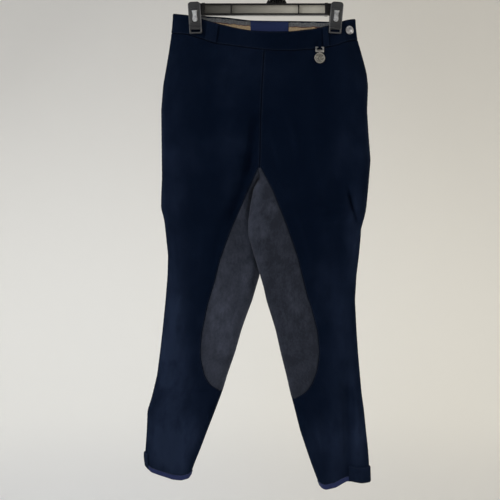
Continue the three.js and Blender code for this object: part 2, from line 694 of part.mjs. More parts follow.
function hook() {
  const wireRadius = HOOK_WIRE / 2;
  const bend = HOOK_INNER + wireRadius;
  const points = [
    new THREE.Vector3(0, 0, -GUSSET_TOP + SEAM_GAP),
    new THREE.Vector3(0, 0, -48),
    new THREE.Vector3(3, 0, -43.4),
  ];
  for (let degrees = -60; degrees <= 200; degrees += 20) {
    const angle = THREE.MathUtils.degToRad(degrees);
    points.push(new THREE.Vector3(bend * Math.cos(angle), 0, -HOOK_INNER + bend * Math.sin(angle)));
  }
  const path = new THREE.CatmullRomCurve3(points, false, 'centripetal');
  const section = new THREE.Shape();
  section.absarc(0, 0, wireRadius, 0, Math.PI * 2, false);
  const geometry = new THREE.ExtrudeGeometry(section, { steps: 36, curveSegments: 4, extrudePath: path });
  addMesh('hanger_hook', geometry, 'steel');
}

// Clips: two jaws that pinch the waistband, held shut by a bent steel spring
const CLIPS = table('name x lean', [
  ['right', -164.4, -2.9],
  ['left', 120.8, 4.1],
]);
const JAW_INSIDE = table('down y', [[0, 12.5], [22, 9], [44, JAW_GRIP_Y], [CLIP_HEIGHT, JAW_GRIP_Y]]);
const SPRING_TOP = 15.7;
const SPRING_BEND = 22;
const SPRING_FOOT = 40.4;
const GRIP_RIBS = [45, 48.5, 52];

function jaw(direction) {
  const outline = JAW_INSIDE.map((row) => [row.y, -row.down]);
  outline.push([JAW_GRIP_Y + JAW, -CLIP_HEIGHT]);
  for (const down of [...GRIP_RIBS].reverse()) {
    outline.push([JAW_GRIP_Y + JAW, -down - 1.2]);
    outline.push([JAW_GRIP_Y + JAW + 1, -down]);
    outline.push([JAW_GRIP_Y + JAW, -down + 1.2]);
  }
  outline.push([9 + JAW, -22]);
  outline.push([12.5 + JAW, 0]);
  const sided = outline.map(([y, z]) => [y * direction, z]);
  let solid = toSolid(acrossX(direction > 0 ? sided : sided.reverse(), CLIP_WIDTH));

  const face = new THREE.Shape();
  const halfWidth = CLIP_WIDTH / 2;
  const topRound = 7;
  const footRound = 2.5;
  face.moveTo(-halfWidth + footRound, -CLIP_HEIGHT);
  face.lineTo(halfWidth - footRound, -CLIP_HEIGHT);
  face.absarc(halfWidth - footRound, -CLIP_HEIGHT + footRound, footRound, -Math.PI / 2, 0, false);
  face.absarc(halfWidth - topRound, -topRound, topRound, 0, Math.PI / 2, false);
  face.absarc(-halfWidth + topRound, -topRound, topRound, Math.PI / 2, Math.PI, false);
  face.absarc(-halfWidth + footRound, -CLIP_HEIGHT + footRound, footRound, Math.PI, Math.PI * 1.5, false);
  const rounded = new THREE.ExtrudeGeometry(face, { depth: 60, bevelEnabled: false, curveSegments: 3 });
  rounded.applyMatrix4(new THREE.Matrix4().makeRotationX(Math.PI / 2)).translate(0, 30, 0);
  solid = solid.intersect(toSolid(rounded));

  const pivotInside = 4.4;
  const pivot = block(18, 11 - pivotInside, 3, 0, direction * (11 + pivotInside) / 2, -8.5);
  solid = solid.add(toSolid(pivot));
  const slotHeight = 2.6;
  solid = solid.subtract(toSolid(block(SPRING_WIDTH + 1.2, 60, slotHeight, 0, 0, -SPRING_TOP)));
  solid = solid.subtract(toSolid(block(18, 20, 5.5, 0, direction * 10, -59)));
  return fromSolid(solid);
}

function springOutline() {
  const outer = (down) => look(JAW_INSIDE, 'down', down, 'y') + JAW + SEAM_GAP;
  const top = -SPRING_TOP + SPRING / 2;
  const shoulder = outer(SPRING_TOP) + SPRING;
  const foot = outer(SPRING_FOOT) + SPRING;
  const bend = outer(SPRING_BEND) + SPRING;
  const outside = [[shoulder, top], [bend, -SPRING_BEND], [foot, -SPRING_FOOT]];
  const inside = [
    [foot - SPRING, -SPRING_FOOT], [bend - SPRING, -SPRING_BEND], [shoulder - SPRING, top - SPRING],
  ];
  const half = [...outside, ...inside];
  return [...half, ...half.map(([y, z]) => [-y, z]).reverse()];
}

function clips() {
  for (const clip of CLIPS) {
    const group = new THREE.Group();
    group.position.set(clip.x, 0, -89.5);
    group.rotation.y = THREE.MathUtils.degToRad(clip.lean);
    addMesh(`clip_${clip.name}_jaw_front`, jaw(-1), 'plastic', group);
    addMesh(`clip_${clip.name}_jaw_back`, jaw(1), 'plastic', group);
    addMesh(`clip_${clip.name}_spring`, acrossX(springOutline(), SPRING_WIDTH), 'steel', group);
    breeches.add(group);
  }
}

// Where a hard piece sits on the cloth: the point, the way across the cloth and the way out of it
function seat(sideName, level, at) {
  const loop = ring(sideName, level);
  const length = at === 'zip' ? sideLength(loop) + ZIP_BACK : lengthAtX(loop, at, 'front');
  const point = moved(loop, length, 0);
  const out = moved(loop, length, -1).sub(point).normalize();
  return { point, out };
}

function bandPart(sideName, x, drop) {
  const top = look(FRONT_TOP, 'x', x, 'drop');
  const seam = look(FRONT_SEAM, 'x', x, 'drop');
  return (drop - top) / (seam - top);
}

function button() {
  const place = seat('left', { band: bandPart('left', BUTTON_X, BUTTON_DROP) }, BUTTON_X);
  const profile = [
    [0, 0], [3.4, 0], [3.4, 1.4], [BUTTON_RADIUS - 0.6, 1.4], [BUTTON_RADIUS, 2], [BUTTON_RADIUS, 2.7],
    [BUTTON_RADIUS - 1.2, 3.5], [6.2, 3.1], [5.6, 3.4], [3, 4], [0, 4.2],
  ];
  const lathe = new THREE.LatheGeometry(profile.map(([r, z]) => new THREE.Vector2(r, z)), 22);
  const disc = addMesh('waist_button', fromSolid(toSolid(lathe)), 'steel');
  disc.quaternion.setFromUnitVectors(new THREE.Vector3(0, 1, 0), place.out);
  disc.position.copy(place.point).addScaledVector(place.out, SEAM_GAP);
}

// Charm: a tape ring on the band, a slotted link that swings on it, and a disc that swings on the link
const TAPE_WIDTH = 10.4;
const TAPE_WALL = 0.8;
const TAPE_INSIDE = 1.5;
const LINK_BAR = 0.8;
const DISC_AXIS_DOWN = 9.2;

function roundedLoop(halfY, top, bottom, wallThick) {
  const outer = new THREE.Shape();
  const outerHalf = halfY + wallThick;
  outer.moveTo(-outerHalf, top);
  outer.lineTo(-outerHalf, bottom);
  outer.absarc(0, bottom, outerHalf, Math.PI, Math.PI * 2, false);
  outer.lineTo(outerHalf, top);
  outer.absarc(0, top, outerHalf, 0, Math.PI, false);
  const hole = new THREE.Path();
  hole.absarc(0, bottom, halfY, Math.PI, Math.PI * 2, false);
  hole.absarc(0, top, halfY, 0, Math.PI, false);
  outer.holes.push(hole);
  return outer;
}

function shapeAcrossX(shape, width, curveSegments) {
  const geometry = new THREE.ExtrudeGeometry(shape, { depth: width, bevelEnabled: false, curveSegments });
  geometry.translate(0, 0, -width / 2);
  return geometry.applyMatrix4(new THREE.Matrix4().set(0, 0, 1, 0, 1, 0, 0, 0, 0, 1, 0, 0, 0, 0, 0, 1));
}

function charm() {
  const place = seat('left', { band: bandPart('left', CHARM_X, CHARM_AXIS_DROP - 5) }, CHARM_X);
  const group = new THREE.Group();
  group.rotation.z = Math.atan2(place.out.x, -place.out.y);
  const away = SEAM_GAP + TAPE_WALL + TAPE_INSIDE + 0.15;
  group.position.copy(place.point).addScaledVector(place.out, away);
  group.position.z = -CHARM_AXIS_DROP;
  breeches.add(group);

  const tape = roundedLoop(TAPE_INSIDE, 9, 0, TAPE_WALL);
  addMesh('charm_tape', shapeAcrossX(tape, TAPE_WIDTH, 5), 'navy', group);

  const linkHalf = 8.5;
  const slotHalf = 5.7;
  const link = new THREE.Shape();
  link.moveTo(-linkHalf, LINK_BAR);
  link.lineTo(-linkHalf, -9.4);
  link.lineTo(-3.2, -9.9);
  link.lineTo(3.2, -9.9);
  link.lineTo(linkHalf, -9.4);
  link.lineTo(linkHalf, LINK_BAR);
  const slot = new THREE.Path();
  slot.moveTo(-slotHalf, -LINK_BAR);
  slot.lineTo(slotHalf, -LINK_BAR);
  slot.lineTo(slotHalf, -5.2);
  slot.lineTo(-slotHalf, -5.2);
  const eyeSlot = new THREE.Path();
  eyeSlot.moveTo(-1.5, -6.6);
  eyeSlot.lineTo(1.5, -6.6);
  eyeSlot.lineTo(1.5, -8.5);
  eyeSlot.lineTo(-1.5, -8.5);
  link.holes.push(slot, eyeSlot);
  const linkGeometry = new THREE.ExtrudeGeometry(link, { depth: 1.6, bevelEnabled: false });
  linkGeometry.applyMatrix4(new THREE.Matrix4().makeRotationX(Math.PI / 2)).translate(0, 0.8, 0);
  addMesh('charm_link', linkGeometry, 'pewter', group);

  const eye = new THREE.Shape();
  eye.absarc(0, -DISC_AXIS_DOWN, 2.1, 0, Math.PI * 2, false);
  const eyeHole = new THREE.Path();
  eyeHole.absarc(0, -DISC_AXIS_DOWN, 1.25, 0, Math.PI * 2, false);
  eye.holes.push(eyeHole);
  const eyeSolid = toSolid(shapeAcrossX(eye, 1.5, 8));
  const discDown = 203 - CHARM_AXIS_DROP;
  const disc = new THREE.LatheGeometry([
    new THREE.Vector2(0, -0.8), new THREE.Vector2(CHARM_DISC_RADIUS - 0.3, -0.8),
    new THREE.Vector2(CHARM_DISC_RADIUS, -0.3), new THREE.Vector2(CHARM_DISC_RADIUS, 0.6),
    new THREE.Vector2(CHARM_DISC_RADIUS - 0.4, 0.9), new THREE.Vector2(CHARM_DISC_RADIUS - 1.6, 0.9),
    new THREE.Vector2(CHARM_DISC_RADIUS - 2, 0.5), new THREE.Vector2(0, 0.5),
  ], 22);
  disc.rotateX(Math.PI).translate(0, 0, -discDown);
  addMesh('charm_disc', fromSolid(toSolid(disc).add(eyeSolid)), 'pewter', group);
}

// Side zip just behind the left seam: the chain, the slider and the pull that swings on the slider's pin
const PIN_OUT = 2.2;
const SLIDER_THICK = 2.6;

function sideZip() {
  const loops = SIDES.left.rows.filter((drop) => drop <= ZIP_END).map((drop) => ring('left', { drop }));
  addMesh('zip_chain', clothPiece(loops, [0, 0.5, 1], (loop) => (
    [sideLength(loop) + ZIP_BACK - ZIP_WIDTH / 2, sideLength(loop) + ZIP_BACK + ZIP_WIDTH / 2]
  ), -ZIP_CLEAR - ZIP_THICK, -ZIP_CLEAR), 'navy');

  const upper = seat('left', { drop: SLIDER_DROP - 6 }, 'zip');
  const lower = seat('left', { drop: SLIDER_DROP + 6 }, 'zip');
  const along = upper.point.clone().sub(lower.point).normalize();
  const across = new THREE.Vector3().crossVectors(along, upper.out).normalize();
  const out = new THREE.Vector3().crossVectors(across, along).normalize();
  const middle = upper.point.clone().add(lower.point).multiplyScalar(0.5);
  const group = new THREE.Group();
  group.quaternion.setFromRotationMatrix(new THREE.Matrix4().makeBasis(out, across, along));
  group.position.copy(middle).addScaledVector(out, ZIP_CLEAR + ZIP_THICK + 0.4);
  breeches.add(group);

  const pinOut = SLIDER_THICK + PIN_OUT;
  const pin = new THREE.CylinderGeometry(0.6, 0.6, 5.4, 8).translate(pinOut, 0, 3.4);
  let slider = toSolid(block(SLIDER_THICK, 7, 12, SLIDER_THICK / 2, 0, 0));
  for (const way of [-1, 1]) {
    slider = slider.add(toSolid(block(3.4, 1.2, 3.4, SLIDER_THICK + 1.5, way * 2.6, 3.4)));
  }
  slider = slider.add(toSolid(pin));
  addMesh('zip_slider', fromSolid(slider), 'steel', group);

  const pull = new THREE.Shape();
  pull.absarc(0, 0, 1.75, -Math.PI * 0.3, Math.PI * 1.3, false);
  pull.lineTo(-0.6, -2.4);
  pull.lineTo(-0.6, -20);
  pull.lineTo(0.6, -20);
  pull.lineTo(0.6, -2.4);
  const eye = new THREE.Path();
  eye.absarc(0, 0, 0.98, 0, Math.PI * 2, false);
  pull.holes.push(eye);
  const pullGeometry = new THREE.ExtrudeGeometry(pull, { depth: 3.2, bevelEnabled: false, curveSegments: 8 });
  pullGeometry.applyMatrix4(new THREE.Matrix4().makeRotationX(Math.PI / 2)).translate(pinOut, 1.6, 3.4);
  addMesh('zip_pull', pullGeometry, 'steel', group);
}

waistband();
beltLoops();
legPieces('right');
legPieces('left');
ankle('right');
ankle('left');
button();
charm();
sideZip();
hanger();
hook();
clips();

export default breeches;
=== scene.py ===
# %% [markdown]
# # Riding breeches on a clip hanger
#
# The real object is a pair of full-seat riding breeches: two fronts and two backs of dark stretch
# cloth, grey suede sewn in at the inner thighs and seat, a waistband with belt loops, a side zip, and
# ankles closed by tabs. The clips of a plain hanger hold it by the waistband.
#
# The cloth is rebuilt here from the same sizes as the solids, with more rows and columns, so that it
# can carry folds, rolled seams and puckers. Hard parts keep their solids' form and get soft edges.
# Sizes below are in millimetres, "drop" is the distance down from the hook, and left and right are
# the wearer's. Meshes are made in metres.

# %% Load the frame
import math
import bmesh
import bpy
import numpy as np
from mathutils import Matrix, Vector


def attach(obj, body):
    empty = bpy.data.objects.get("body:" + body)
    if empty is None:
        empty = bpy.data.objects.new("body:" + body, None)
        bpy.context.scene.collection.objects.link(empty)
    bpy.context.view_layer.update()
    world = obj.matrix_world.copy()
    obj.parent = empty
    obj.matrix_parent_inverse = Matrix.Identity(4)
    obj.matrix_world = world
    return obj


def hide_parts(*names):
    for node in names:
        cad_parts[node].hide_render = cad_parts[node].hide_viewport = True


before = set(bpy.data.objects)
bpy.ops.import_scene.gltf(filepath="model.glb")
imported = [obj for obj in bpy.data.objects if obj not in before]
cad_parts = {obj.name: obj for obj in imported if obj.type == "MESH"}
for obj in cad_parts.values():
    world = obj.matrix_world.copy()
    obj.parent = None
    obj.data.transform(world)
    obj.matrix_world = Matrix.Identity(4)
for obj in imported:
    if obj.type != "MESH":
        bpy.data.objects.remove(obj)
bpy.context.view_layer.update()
MM = 0.001
print("solids:", len(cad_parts))


def new_object(name, data):
    """An object at the origin, linked into the scene."""
    made = bpy.data.objects.new(name, data)
    bpy.context.scene.collection.objects.link(made)
    return made


def shade_smooth(mesh):
    mesh.polygons.foreach_set("use_smooth", [True] * len(mesh.polygons))



# %% [markdown]
# ## Camera, room and light
#
# The photograph looks straight at the garment from about two metres, with a slightly long lens, and
# cuts the hanger off just above its bar. A round pale room stands in for the wall behind it, so that
# every side of the garment is seen against the same plain tone. A large soft lamp from the upper left
# of the front gives the cloth its faint modelling, and weaker ones fill the other sides.

# %% Camera
VIEW_CENTRE = Vector((-0.053, 0, -0.5858))
VIEW_DISTANCE = 2.0
camera_data = bpy.data.cameras.new("camera")
camera_data.sensor_width = 36
camera_data.lens = 72
camera = new_object("camera", camera_data)
camera.location = VIEW_CENTRE - Vector((0, VIEW_DISTANCE, 0))
camera.rotation_euler = (math.pi / 2, 0, 0)
bpy.context.scene.camera = camera
print("camera at", tuple(camera.location))

# %% Room
ROOM_RADIUS = 3.6
ROOM_CORNER = 0.9
ROOM_HEIGHT = 4.2
FLOOR_Z = -2.62
FLOOR_CENTRE_RADIUS = 0.5
CORNER_STEPS = 12
ROOM_SIDES = 96


def turned_profile(name, profile, steps):
    """A surface turned round Z from (radius, height) points in metres, closed over its first ring."""
    work = bmesh.new()
    rings = []
    for radius, height in profile:
        ring = []
        for i in range(steps):
            angle = 2 * math.pi * i / steps
            ring.append(work.verts.new((radius * math.cos(angle), radius * math.sin(angle), height)))
        rings.append(ring)
    for low, high in zip(rings, rings[1:]):
        for i in range(steps):
            j = (i + 1) % steps
            work.faces.new((low[i], high[i], high[j], low[j]))
    work.faces.new(rings[0])
    mesh = bpy.data.meshes.new(name)
    work.to_mesh(mesh)
    work.free()
    shade_smooth(mesh)
    return new_object(name, mesh)


room_profile = [(FLOOR_CENTRE_RADIUS, FLOOR_Z), (ROOM_RADIUS - ROOM_CORNER, FLOOR_Z)]
for step in range(1, CORNER_STEPS + 1):
    turn = step / CORNER_STEPS * math.pi / 2
    room_profile.append((ROOM_RADIUS - ROOM_CORNER * (1 - math.sin(turn)),
                         FLOOR_Z + ROOM_CORNER * (1 - math.cos(turn))))
room_profile.append((ROOM_RADIUS, FLOOR_Z + ROOM_HEIGHT))
room = turned_profile("room", room_profile, ROOM_SIDES)
print("room faces:", len(room.data.polygons))

# %% Lamps
LAMPS = [
    # name, place, size, watts, colour
    ("key", (-2.5, -1.5, 0.9), 1.2, 46, (1.0, 0.985, 0.96)),
    ("fill_right", (2.6, -1.2, 0.0), 1.0, 17, (1.0, 0.97, 0.93)),
    ("low_front", (-0.8, -1.9, -0.7), 0.7, 2.0, (0.93, 0.96, 1.0)),
    ("back_left", (-2.3, 1.7, 0.8), 1.2, 34, (1.0, 0.985, 0.96)),
    ("back_right", (2.3, 1.6, 0.0), 1.2, 17, (1.0, 0.97, 0.93)),
]
DAYLIGHT = (0.95, 0.965, 1.0, 1)
DAYLIGHT_STRENGTH = 0.36
for lamp_name, place, size, watts, colour in LAMPS:
    lamp_data = bpy.data.lights.new(lamp_name, "AREA")
    lamp_data.shape = "DISK"
    lamp_data.size = size
    lamp_data.energy = watts
    lamp_data.color = colour
    lamp = new_object(lamp_name, lamp_data)
    lamp.location = place
    lamp.rotation_euler = (Vector(place) - VIEW_CENTRE).to_track_quat("Z", "Y").to_euler()
    lamp.visible_camera = False
world = bpy.data.worlds.new("soft daylight")
world.use_nodes = True
sky = world.node_tree.nodes["Background"]
sky.inputs["Color"].default_value = DAYLIGHT
sky.inputs["Strength"].default_value = DAYLIGHT_STRENGTH
bpy.context.scene.world = world
bpy.context.scene.view_settings.view_transform = "Standard"
print("lamps:", len(LAMPS))

# %% [markdown]
# ## Finishes
#
# Each finish is a node tree on the Principled shader. The cloth is a nearly black navy with a brushed
# face, so most of what the eye reads comes from its sheen, a faint diagonal weave, and the paler bands
# where legs and knees have rubbed. Painted light is mixed into its colour as well: a painted sheen
# towards the sides, painted highlights on fold crests, and painted shade in fold troughs and seams. The
# weave follows the cloth through a UV map measured in metres, and wear is placed by Object coordinates,
# which here are the same metres as the frame's.

# %% Helpers for node trees
def feed(tree, socket, value):
    """Links another node's socket to an input, or sets the input to a number or colour."""
    if isinstance(value, bpy.types.NodeSocket):
        tree.links.new(value, socket)
    else:
        socket.default_value = value


def add_node(tree, kind, settings=None, **inputs):
    made = tree.nodes.new(kind)
    for key, value in (settings or {}).items():
        setattr(made, key, value)
    for key, value in inputs.items():
        feed(tree, made.inputs[key.replace("_", " ")], value)
    return made


def start_finish(name, roughness, metallic=0.0, **fixed):
    """A new material with its shader, whose constant values sit on the shader's own sockets."""
    finish = bpy.data.materials.new(name)
    finish.use_nodes = True
    shader = finish.node_tree.nodes["Principled BSDF"]
    shader.inputs["Roughness"].default_value = roughness
    shader.inputs["Metallic"].default_value = metallic
    for key, value in fixed.items():
        shader.inputs[key.replace("_", " ")].default_value = value
    return finish, finish.node_tree, shader


def maths(tree, operation, a, b=0.0):
    made = tree.nodes.new("ShaderNodeMath")
    made.operation = operation
    for socket, value in zip(made.inputs, (a, b)):
        feed(tree, socket, value)
    return made.outputs[0]


def added(tree, *values):
    total = values[0]
    for value in values[1:]:
        total = maths(tree, "ADD", total, value)
    return total


def times(tree, a, b):
    return maths(tree, "MULTIPLY", a, b)


def two_colours(tree, factor, first, second, blend="MIX"):
    made = add_node(tree, "ShaderNodeMix", {"data_type": "RGBA", "blend_type": blend})
    for index, value in ((0, factor), (6, first), (7, second)):
        feed(tree, made.inputs[index], (*value, 1) if isinstance(value, tuple) else value)
    return made.outputs[2]


def position(tree):
    """Where a point is, in the frame's metres."""
    return tree.nodes.new("ShaderNodeTexCoord").outputs["Object"]


def cloth_map(tree):
    """Where a point is along and down its cloth, in metres."""
    return tree.nodes.new("ShaderNodeTexCoord").outputs["UV"]


def axes(tree, vector):
    return add_node(tree, "ShaderNodeSeparateXYZ", None, Vector=vector).outputs


def attribute(tree, name):
    return add_node(tree, "ShaderNodeAttribute", {"attribute_name": name}).outputs["Fac"]


def noise(tree, place, scale, detail=3.0, roughness=0.55, stretch=(1, 1, 1)):
    mapping = add_node(tree, "ShaderNodeMapping", None, Vector=place, Scale=stretch)
    made = add_node(tree, "ShaderNodeTexNoise", None, Vector=mapping.outputs[0], Scale=scale,
                    Detail=detail, Roughness=roughness)
    return made.outputs[0]


def soft_step(tree, value, low, high):
    made = add_node(tree, "ShaderNodeMapRange", {"interpolation_type": "SMOOTHSTEP"}, Value=value)
    made.inputs["From Min"].default_value = low
    made.inputs["From Max"].default_value = high
    return made.outputs[0]


def share_between(tree, value, low, high, weight):
    """A soft step from low to high, up to a weight."""
    return times(tree, soft_step(tree, value, low, high), weight)


def vector_length(tree, vector):
    length = add_node(tree, "ShaderNodeVectorMath", {"operation": "LENGTH"})
    tree.links.new(vector, length.inputs[0])
    return length.outputs["Value"]


def rubbed_spot(tree, place, centre, radii):
    """1 at the centre of an ellipsoid in the frame's metres, fading to 0 at its surface."""
    mapping = add_node(tree, "ShaderNodeMapping", None, Vector=place,
                       Scale=tuple(1 / r for r in radii),
                       Location=tuple(-c / r for c, r in zip(centre, radii)))
    return soft_step(tree, vector_length(tree, mapping.outputs[0]), 1.0, 0.0)


def bumps(tree, shader, layers):
    """Chains bump nodes; each layer is a height socket and a depth in metres."""
    normal = None
    for height, depth in layers:
        bump = add_node(tree, "ShaderNodeBump", None, Height=height, Distance=depth)
        bump.inputs["Strength"].default_value = 1.0
        if normal is not None:
            tree.links.new(normal, bump.inputs["Normal"])
        normal = bump.outputs[0]
    tree.links.new(normal, shader.inputs["Normal"])


# %% Navy stretch cloth
NAVY_DEEP = (0.0012, 0.0038, 0.0115)
# The next colour is the navy of rubbed cloth, and also that of the painted sheen and painted highlights.
NAVY_WEAR_AND_SHEEN = (0.0120, 0.0195, 0.0425)
LINT = (0.030, 0.042, 0.075)
# The next colour is painted shade along the seams.
SEAM_PAINTED_SHADE = (0.0004, 0.0008, 0.0024)
TWILL_ANGLE = math.radians(28)
RUBBED_PLACES = [
    # centre in metres, radii in metres, strength
    ((-0.205, -0.02, -0.76), (0.045, 0.09, 0.21), 0.46),
    ((-0.225, -0.02, -0.95), (0.055, 0.09, 0.18), 0.44),
    ((-0.178, -0.02, -0.96), (0.040, 0.09, 0.14), 0.20),
    ((0.128, -0.02, -0.74), (0.040, 0.09, 0.10), 0.24),
    ((0.105, -0.02, -0.95), (0.045, 0.09, 0.13), 0.14),
    ((0.170, -0.02, -0.95), (0.024, 0.09, 0.16), 0.36),
    ((0.155, -0.02, -0.56), (0.030, 0.09, 0.15), 0.45),
    ((-0.205, -0.02, -0.30), (0.025, 0.09, 0.20), 0.16),
    ((-0.060, 0.03, -0.40), (0.150, 0.09, 0.12), 0.30),
    ((-0.200, 0.03, -0.90), (0.060, 0.09, 0.20), 0.55),
    ((0.130, 0.03, -0.90), (0.060, 0.09, 0.20), 0.50),
]


def stretch_cloth():
    finish, tree, shader = start_finish("navy_stretch_cloth", 0.9, Specular_IOR_Level=0.025,
                                        Sheen_Weight=0.026, Sheen_Roughness=0.35,
                                        Sheen_Tint=(0.50, 0.68, 1.0, 1))
    place, along = position(tree), cloth_map(tree)
    weave_map = add_node(tree, "ShaderNodeMapping", None, Vector=along, Rotation=(0, 0, TWILL_ANGLE))
    twill = add_node(tree, "ShaderNodeTexWave", {"wave_profile": "SIN", "bands_direction": "X"},
                     Vector=weave_map.outputs[0], Scale=330.0, Distortion=0.8, Detail=1.0)
    yarn = noise(tree, along, 1500.0, 2.0, 0.6, (1, 0.35, 1))
    mottle = noise(tree, along, 46.0, 5.0, 0.62, (1, 0.45, 1))
    blotches = noise(tree, along, 17.0, 4.0, 0.6, (1, 0.5, 1))
    cloudy = noise(tree, place, 7.0, 3.0, 0.5)
    lint = noise(tree, along, 620.0, 2.0, 0.5, (1, 0.3, 1))
    x, _, z = axes(tree, place)
    sideways = maths(tree, "ABSOLUTE", added(tree, x, 0.02))
    edge, ridge = attribute(tree, "edge_mm"), attribute(tree, "ridge_mm")

    # Paler in random clouds, paler lower down, and paler towards the sides, partly from rubbing and partly a
    # painted sheen where the cloth turns away; then the listed rubbed spots.
    wear_and_painted_light = added(tree, share_between(tree, cloudy, 0.40, 0.72, 0.22),
                 share_between(tree, z, -0.4, -1.1, 0.18), share_between(tree, sideways, 0.10, 0.20, 0.16))
    for centre, radii, strength in RUBBED_PLACES:
        wear_and_painted_light = added(tree, wear_and_painted_light, times(tree, rubbed_spot(tree, place, centre, radii), strength))
    # A little paler 1.5 to 4.5 mm from edges, and paler on fold crests, partly from rubbing and partly a
    # painted highlight.
    wear_and_painted_light = added(tree, wear_and_painted_light, share_between(tree, edge, 4.5, 1.5, 0.05),
                 share_between(tree, ridge, 0.2, 2.4, 0.42))
    # Painted shade: darker in the troughs of folds.
    wear_and_painted_light = maths(tree, "SUBTRACT", wear_and_painted_light, share_between(tree, ridge, -0.2, -3.5, 0.45))
    broken = added(tree, share_between(tree, mottle, 0.36, 0.64, 0.34),
                   share_between(tree, blotches, 0.38, 0.64, 0.62))
    wear_and_painted_light = times(tree, wear_and_painted_light, added(tree, 0.42, broken))
    colour = two_colours(tree, wear_and_painted_light, NAVY_DEEP, NAVY_WEAR_AND_SHEEN)
    colour = two_colours(tree, share_between(tree, lint, 0.70, 0.80, 0.16), colour, LINT)
    # Painted shade: nearly black within about a millimetre of seams and edges.
    colour = two_colours(tree, share_between(tree, edge, 1.3, 0.4, 0.8), colour, SEAM_PAINTED_SHADE)
    feed(tree, shader.inputs["Base Color"], colour)
    bumps(tree, shader, [(mottle, 0.0010), (twill.outputs["Fac"], 0.00006), (yarn, 0.00010)])
    return finish


def pale_wall():
    """A matt wall, warmer at the wearer's left, with painted light: darker at the top, paler lower down, and
    darker again on the slightly cooler floor.
    """
    finish, tree, shader = start_finish("pale_wall", 0.95, Specular_IOR_Level=0.1)
    x, _, z = axes(tree, position(tree))
    # Painted light: the wall darker at the top and paler lower down.
    colour = two_colours(tree, soft_step(tree, z, 0.9, -1.2), (0.78, 0.775, 0.760), (0.97, 0.975, 0.965))
    # Painted shade: the floor darker than the wall above it, and slightly cooler.
    colour = two_colours(tree, soft_step(tree, z, -1.40, -2.0), colour, (0.84, 0.85, 0.865))
    warmth = two_colours(tree, soft_step(tree, x, -1.0, 1.2), (1.0, 1.0, 1.0), (0.955, 0.925, 0.865))
    feed(tree, shader.inputs["Base Color"], two_colours(tree, 1.0, colour, warmth, "MULTIPLY"))
    return finish


room.data.materials.append(pale_wall())
CLOTH_FINISH = stretch_cloth()
print("finish:", CLOTH_FINISH.name)

# %% [markdown]
# The suede is a brushed synthetic with a short nap. Its tone changes from place to place as the nap
# lies up or down, in streaks that run down the leg, and it is palest where the saddle has rubbed it,
# high on the inner thighs. Two noises at different sizes make the nap, and named spots make the wear.

# %% Grey suede
SUEDE_DARK = (0.0150, 0.0178, 0.0265)
SUEDE_PALE = (0.0540, 0.0620, 0.0900)
SCUFFED_PLACES = [
    ((-0.010, -0.02, -0.507), (0.016, 0.08, 0.020), 0.50),
    ((-0.030, -0.02, -0.548), (0.018, 0.08, 0.028), 0.34),
    ((-0.036, -0.02, -0.470), (0.012, 0.08, 0.030), 0.20),
    ((-0.050, -0.02, -0.640), (0.030, 0.08, 0.060), 0.24),
    ((-0.110, -0.02, -0.735), (0.040, 0.08, 0.110), 0.30),
    ((-0.118, -0.02, -0.640), (0.018, 0.08, 0.050), 0.18),
    ((0.030, -0.02, -0.700), (0.030, 0.08, 0.100), 0.16),
    ((-0.030, 0.03, -0.420), (0.110, 0.06, 0.080), 0.30),
    ((-0.090, 0.03, -0.700), (0.040, 0.06, 0.100), 0.24),
    ((0.040, 0.03, -0.700), (0.040, 0.06, 0.100), 0.24),
]


def suede():
    finish, tree, shader = start_finish("grey_suede", 0.95, Specular_IOR_Level=0.04, Sheen_Weight=0.08,
                                        Sheen_Roughness=0.55, Sheen_Tint=(0.80, 0.84, 1.0, 1))
    place, along = position(tree), cloth_map(tree)
    streaks = noise(tree, along, 70.0, 5.0, 0.66, (1, 0.40, 1))
    patches = noise(tree, along, 34.0, 6.0, 0.66, (1, 0.85, 1))
    nap = noise(tree, along, 260.0, 5.0, 0.8, (1, 0.6, 1))
    tone = added(tree, share_between(tree, streaks, 0.32, 0.70, 0.16),
                 share_between(tree, patches, 0.38, 0.66, 0.24), share_between(tree, nap, 0.34, 0.66, 0.22))
    front_leg = share_between(tree, axes(tree, place)[0], -0.045, -0.018, 0.20)
    tone = maths(tree, "SUBTRACT", tone, front_leg)
    for centre, radii, strength in SCUFFED_PLACES:
        spot = times(tree, rubbed_spot(tree, place, centre, radii), strength)
        spot = times(tree, spot, added(tree, 0.35, soft_step(tree, streaks, 0.35, 0.65)))
        tone = added(tree, tone, spot)
    # Darker within 3 mm of the suede's edges.
    darker_near_edges = share_between(tree, attribute(tree, "edge_mm"), 3.0, 0.0, 0.22)
    tone = maths(tree, "SUBTRACT", tone, darker_near_edges)
    feed(tree, shader.inputs["Base Color"], two_colours(tree, tone, SUEDE_DARK, SUEDE_PALE))
    bumps(tree, shader, [(streaks, 0.0009), (nap, 0.00030)])
    return finish


SUEDE_FINISH = suede()
print("finish:", SUEDE_FINISH.name)

# %% [markdown]
# The inside of the waistband is faced with a woven ribbon: a grey melange half above, a thin brown line
# and a tan half below. A UV map that runs from 0 at the top to 1 at the bottom places the stripes, and a
# little noise makes their edges wander as a woven edge does. The label is plain, and the hem tape is a
# finely ribbed royal navy.

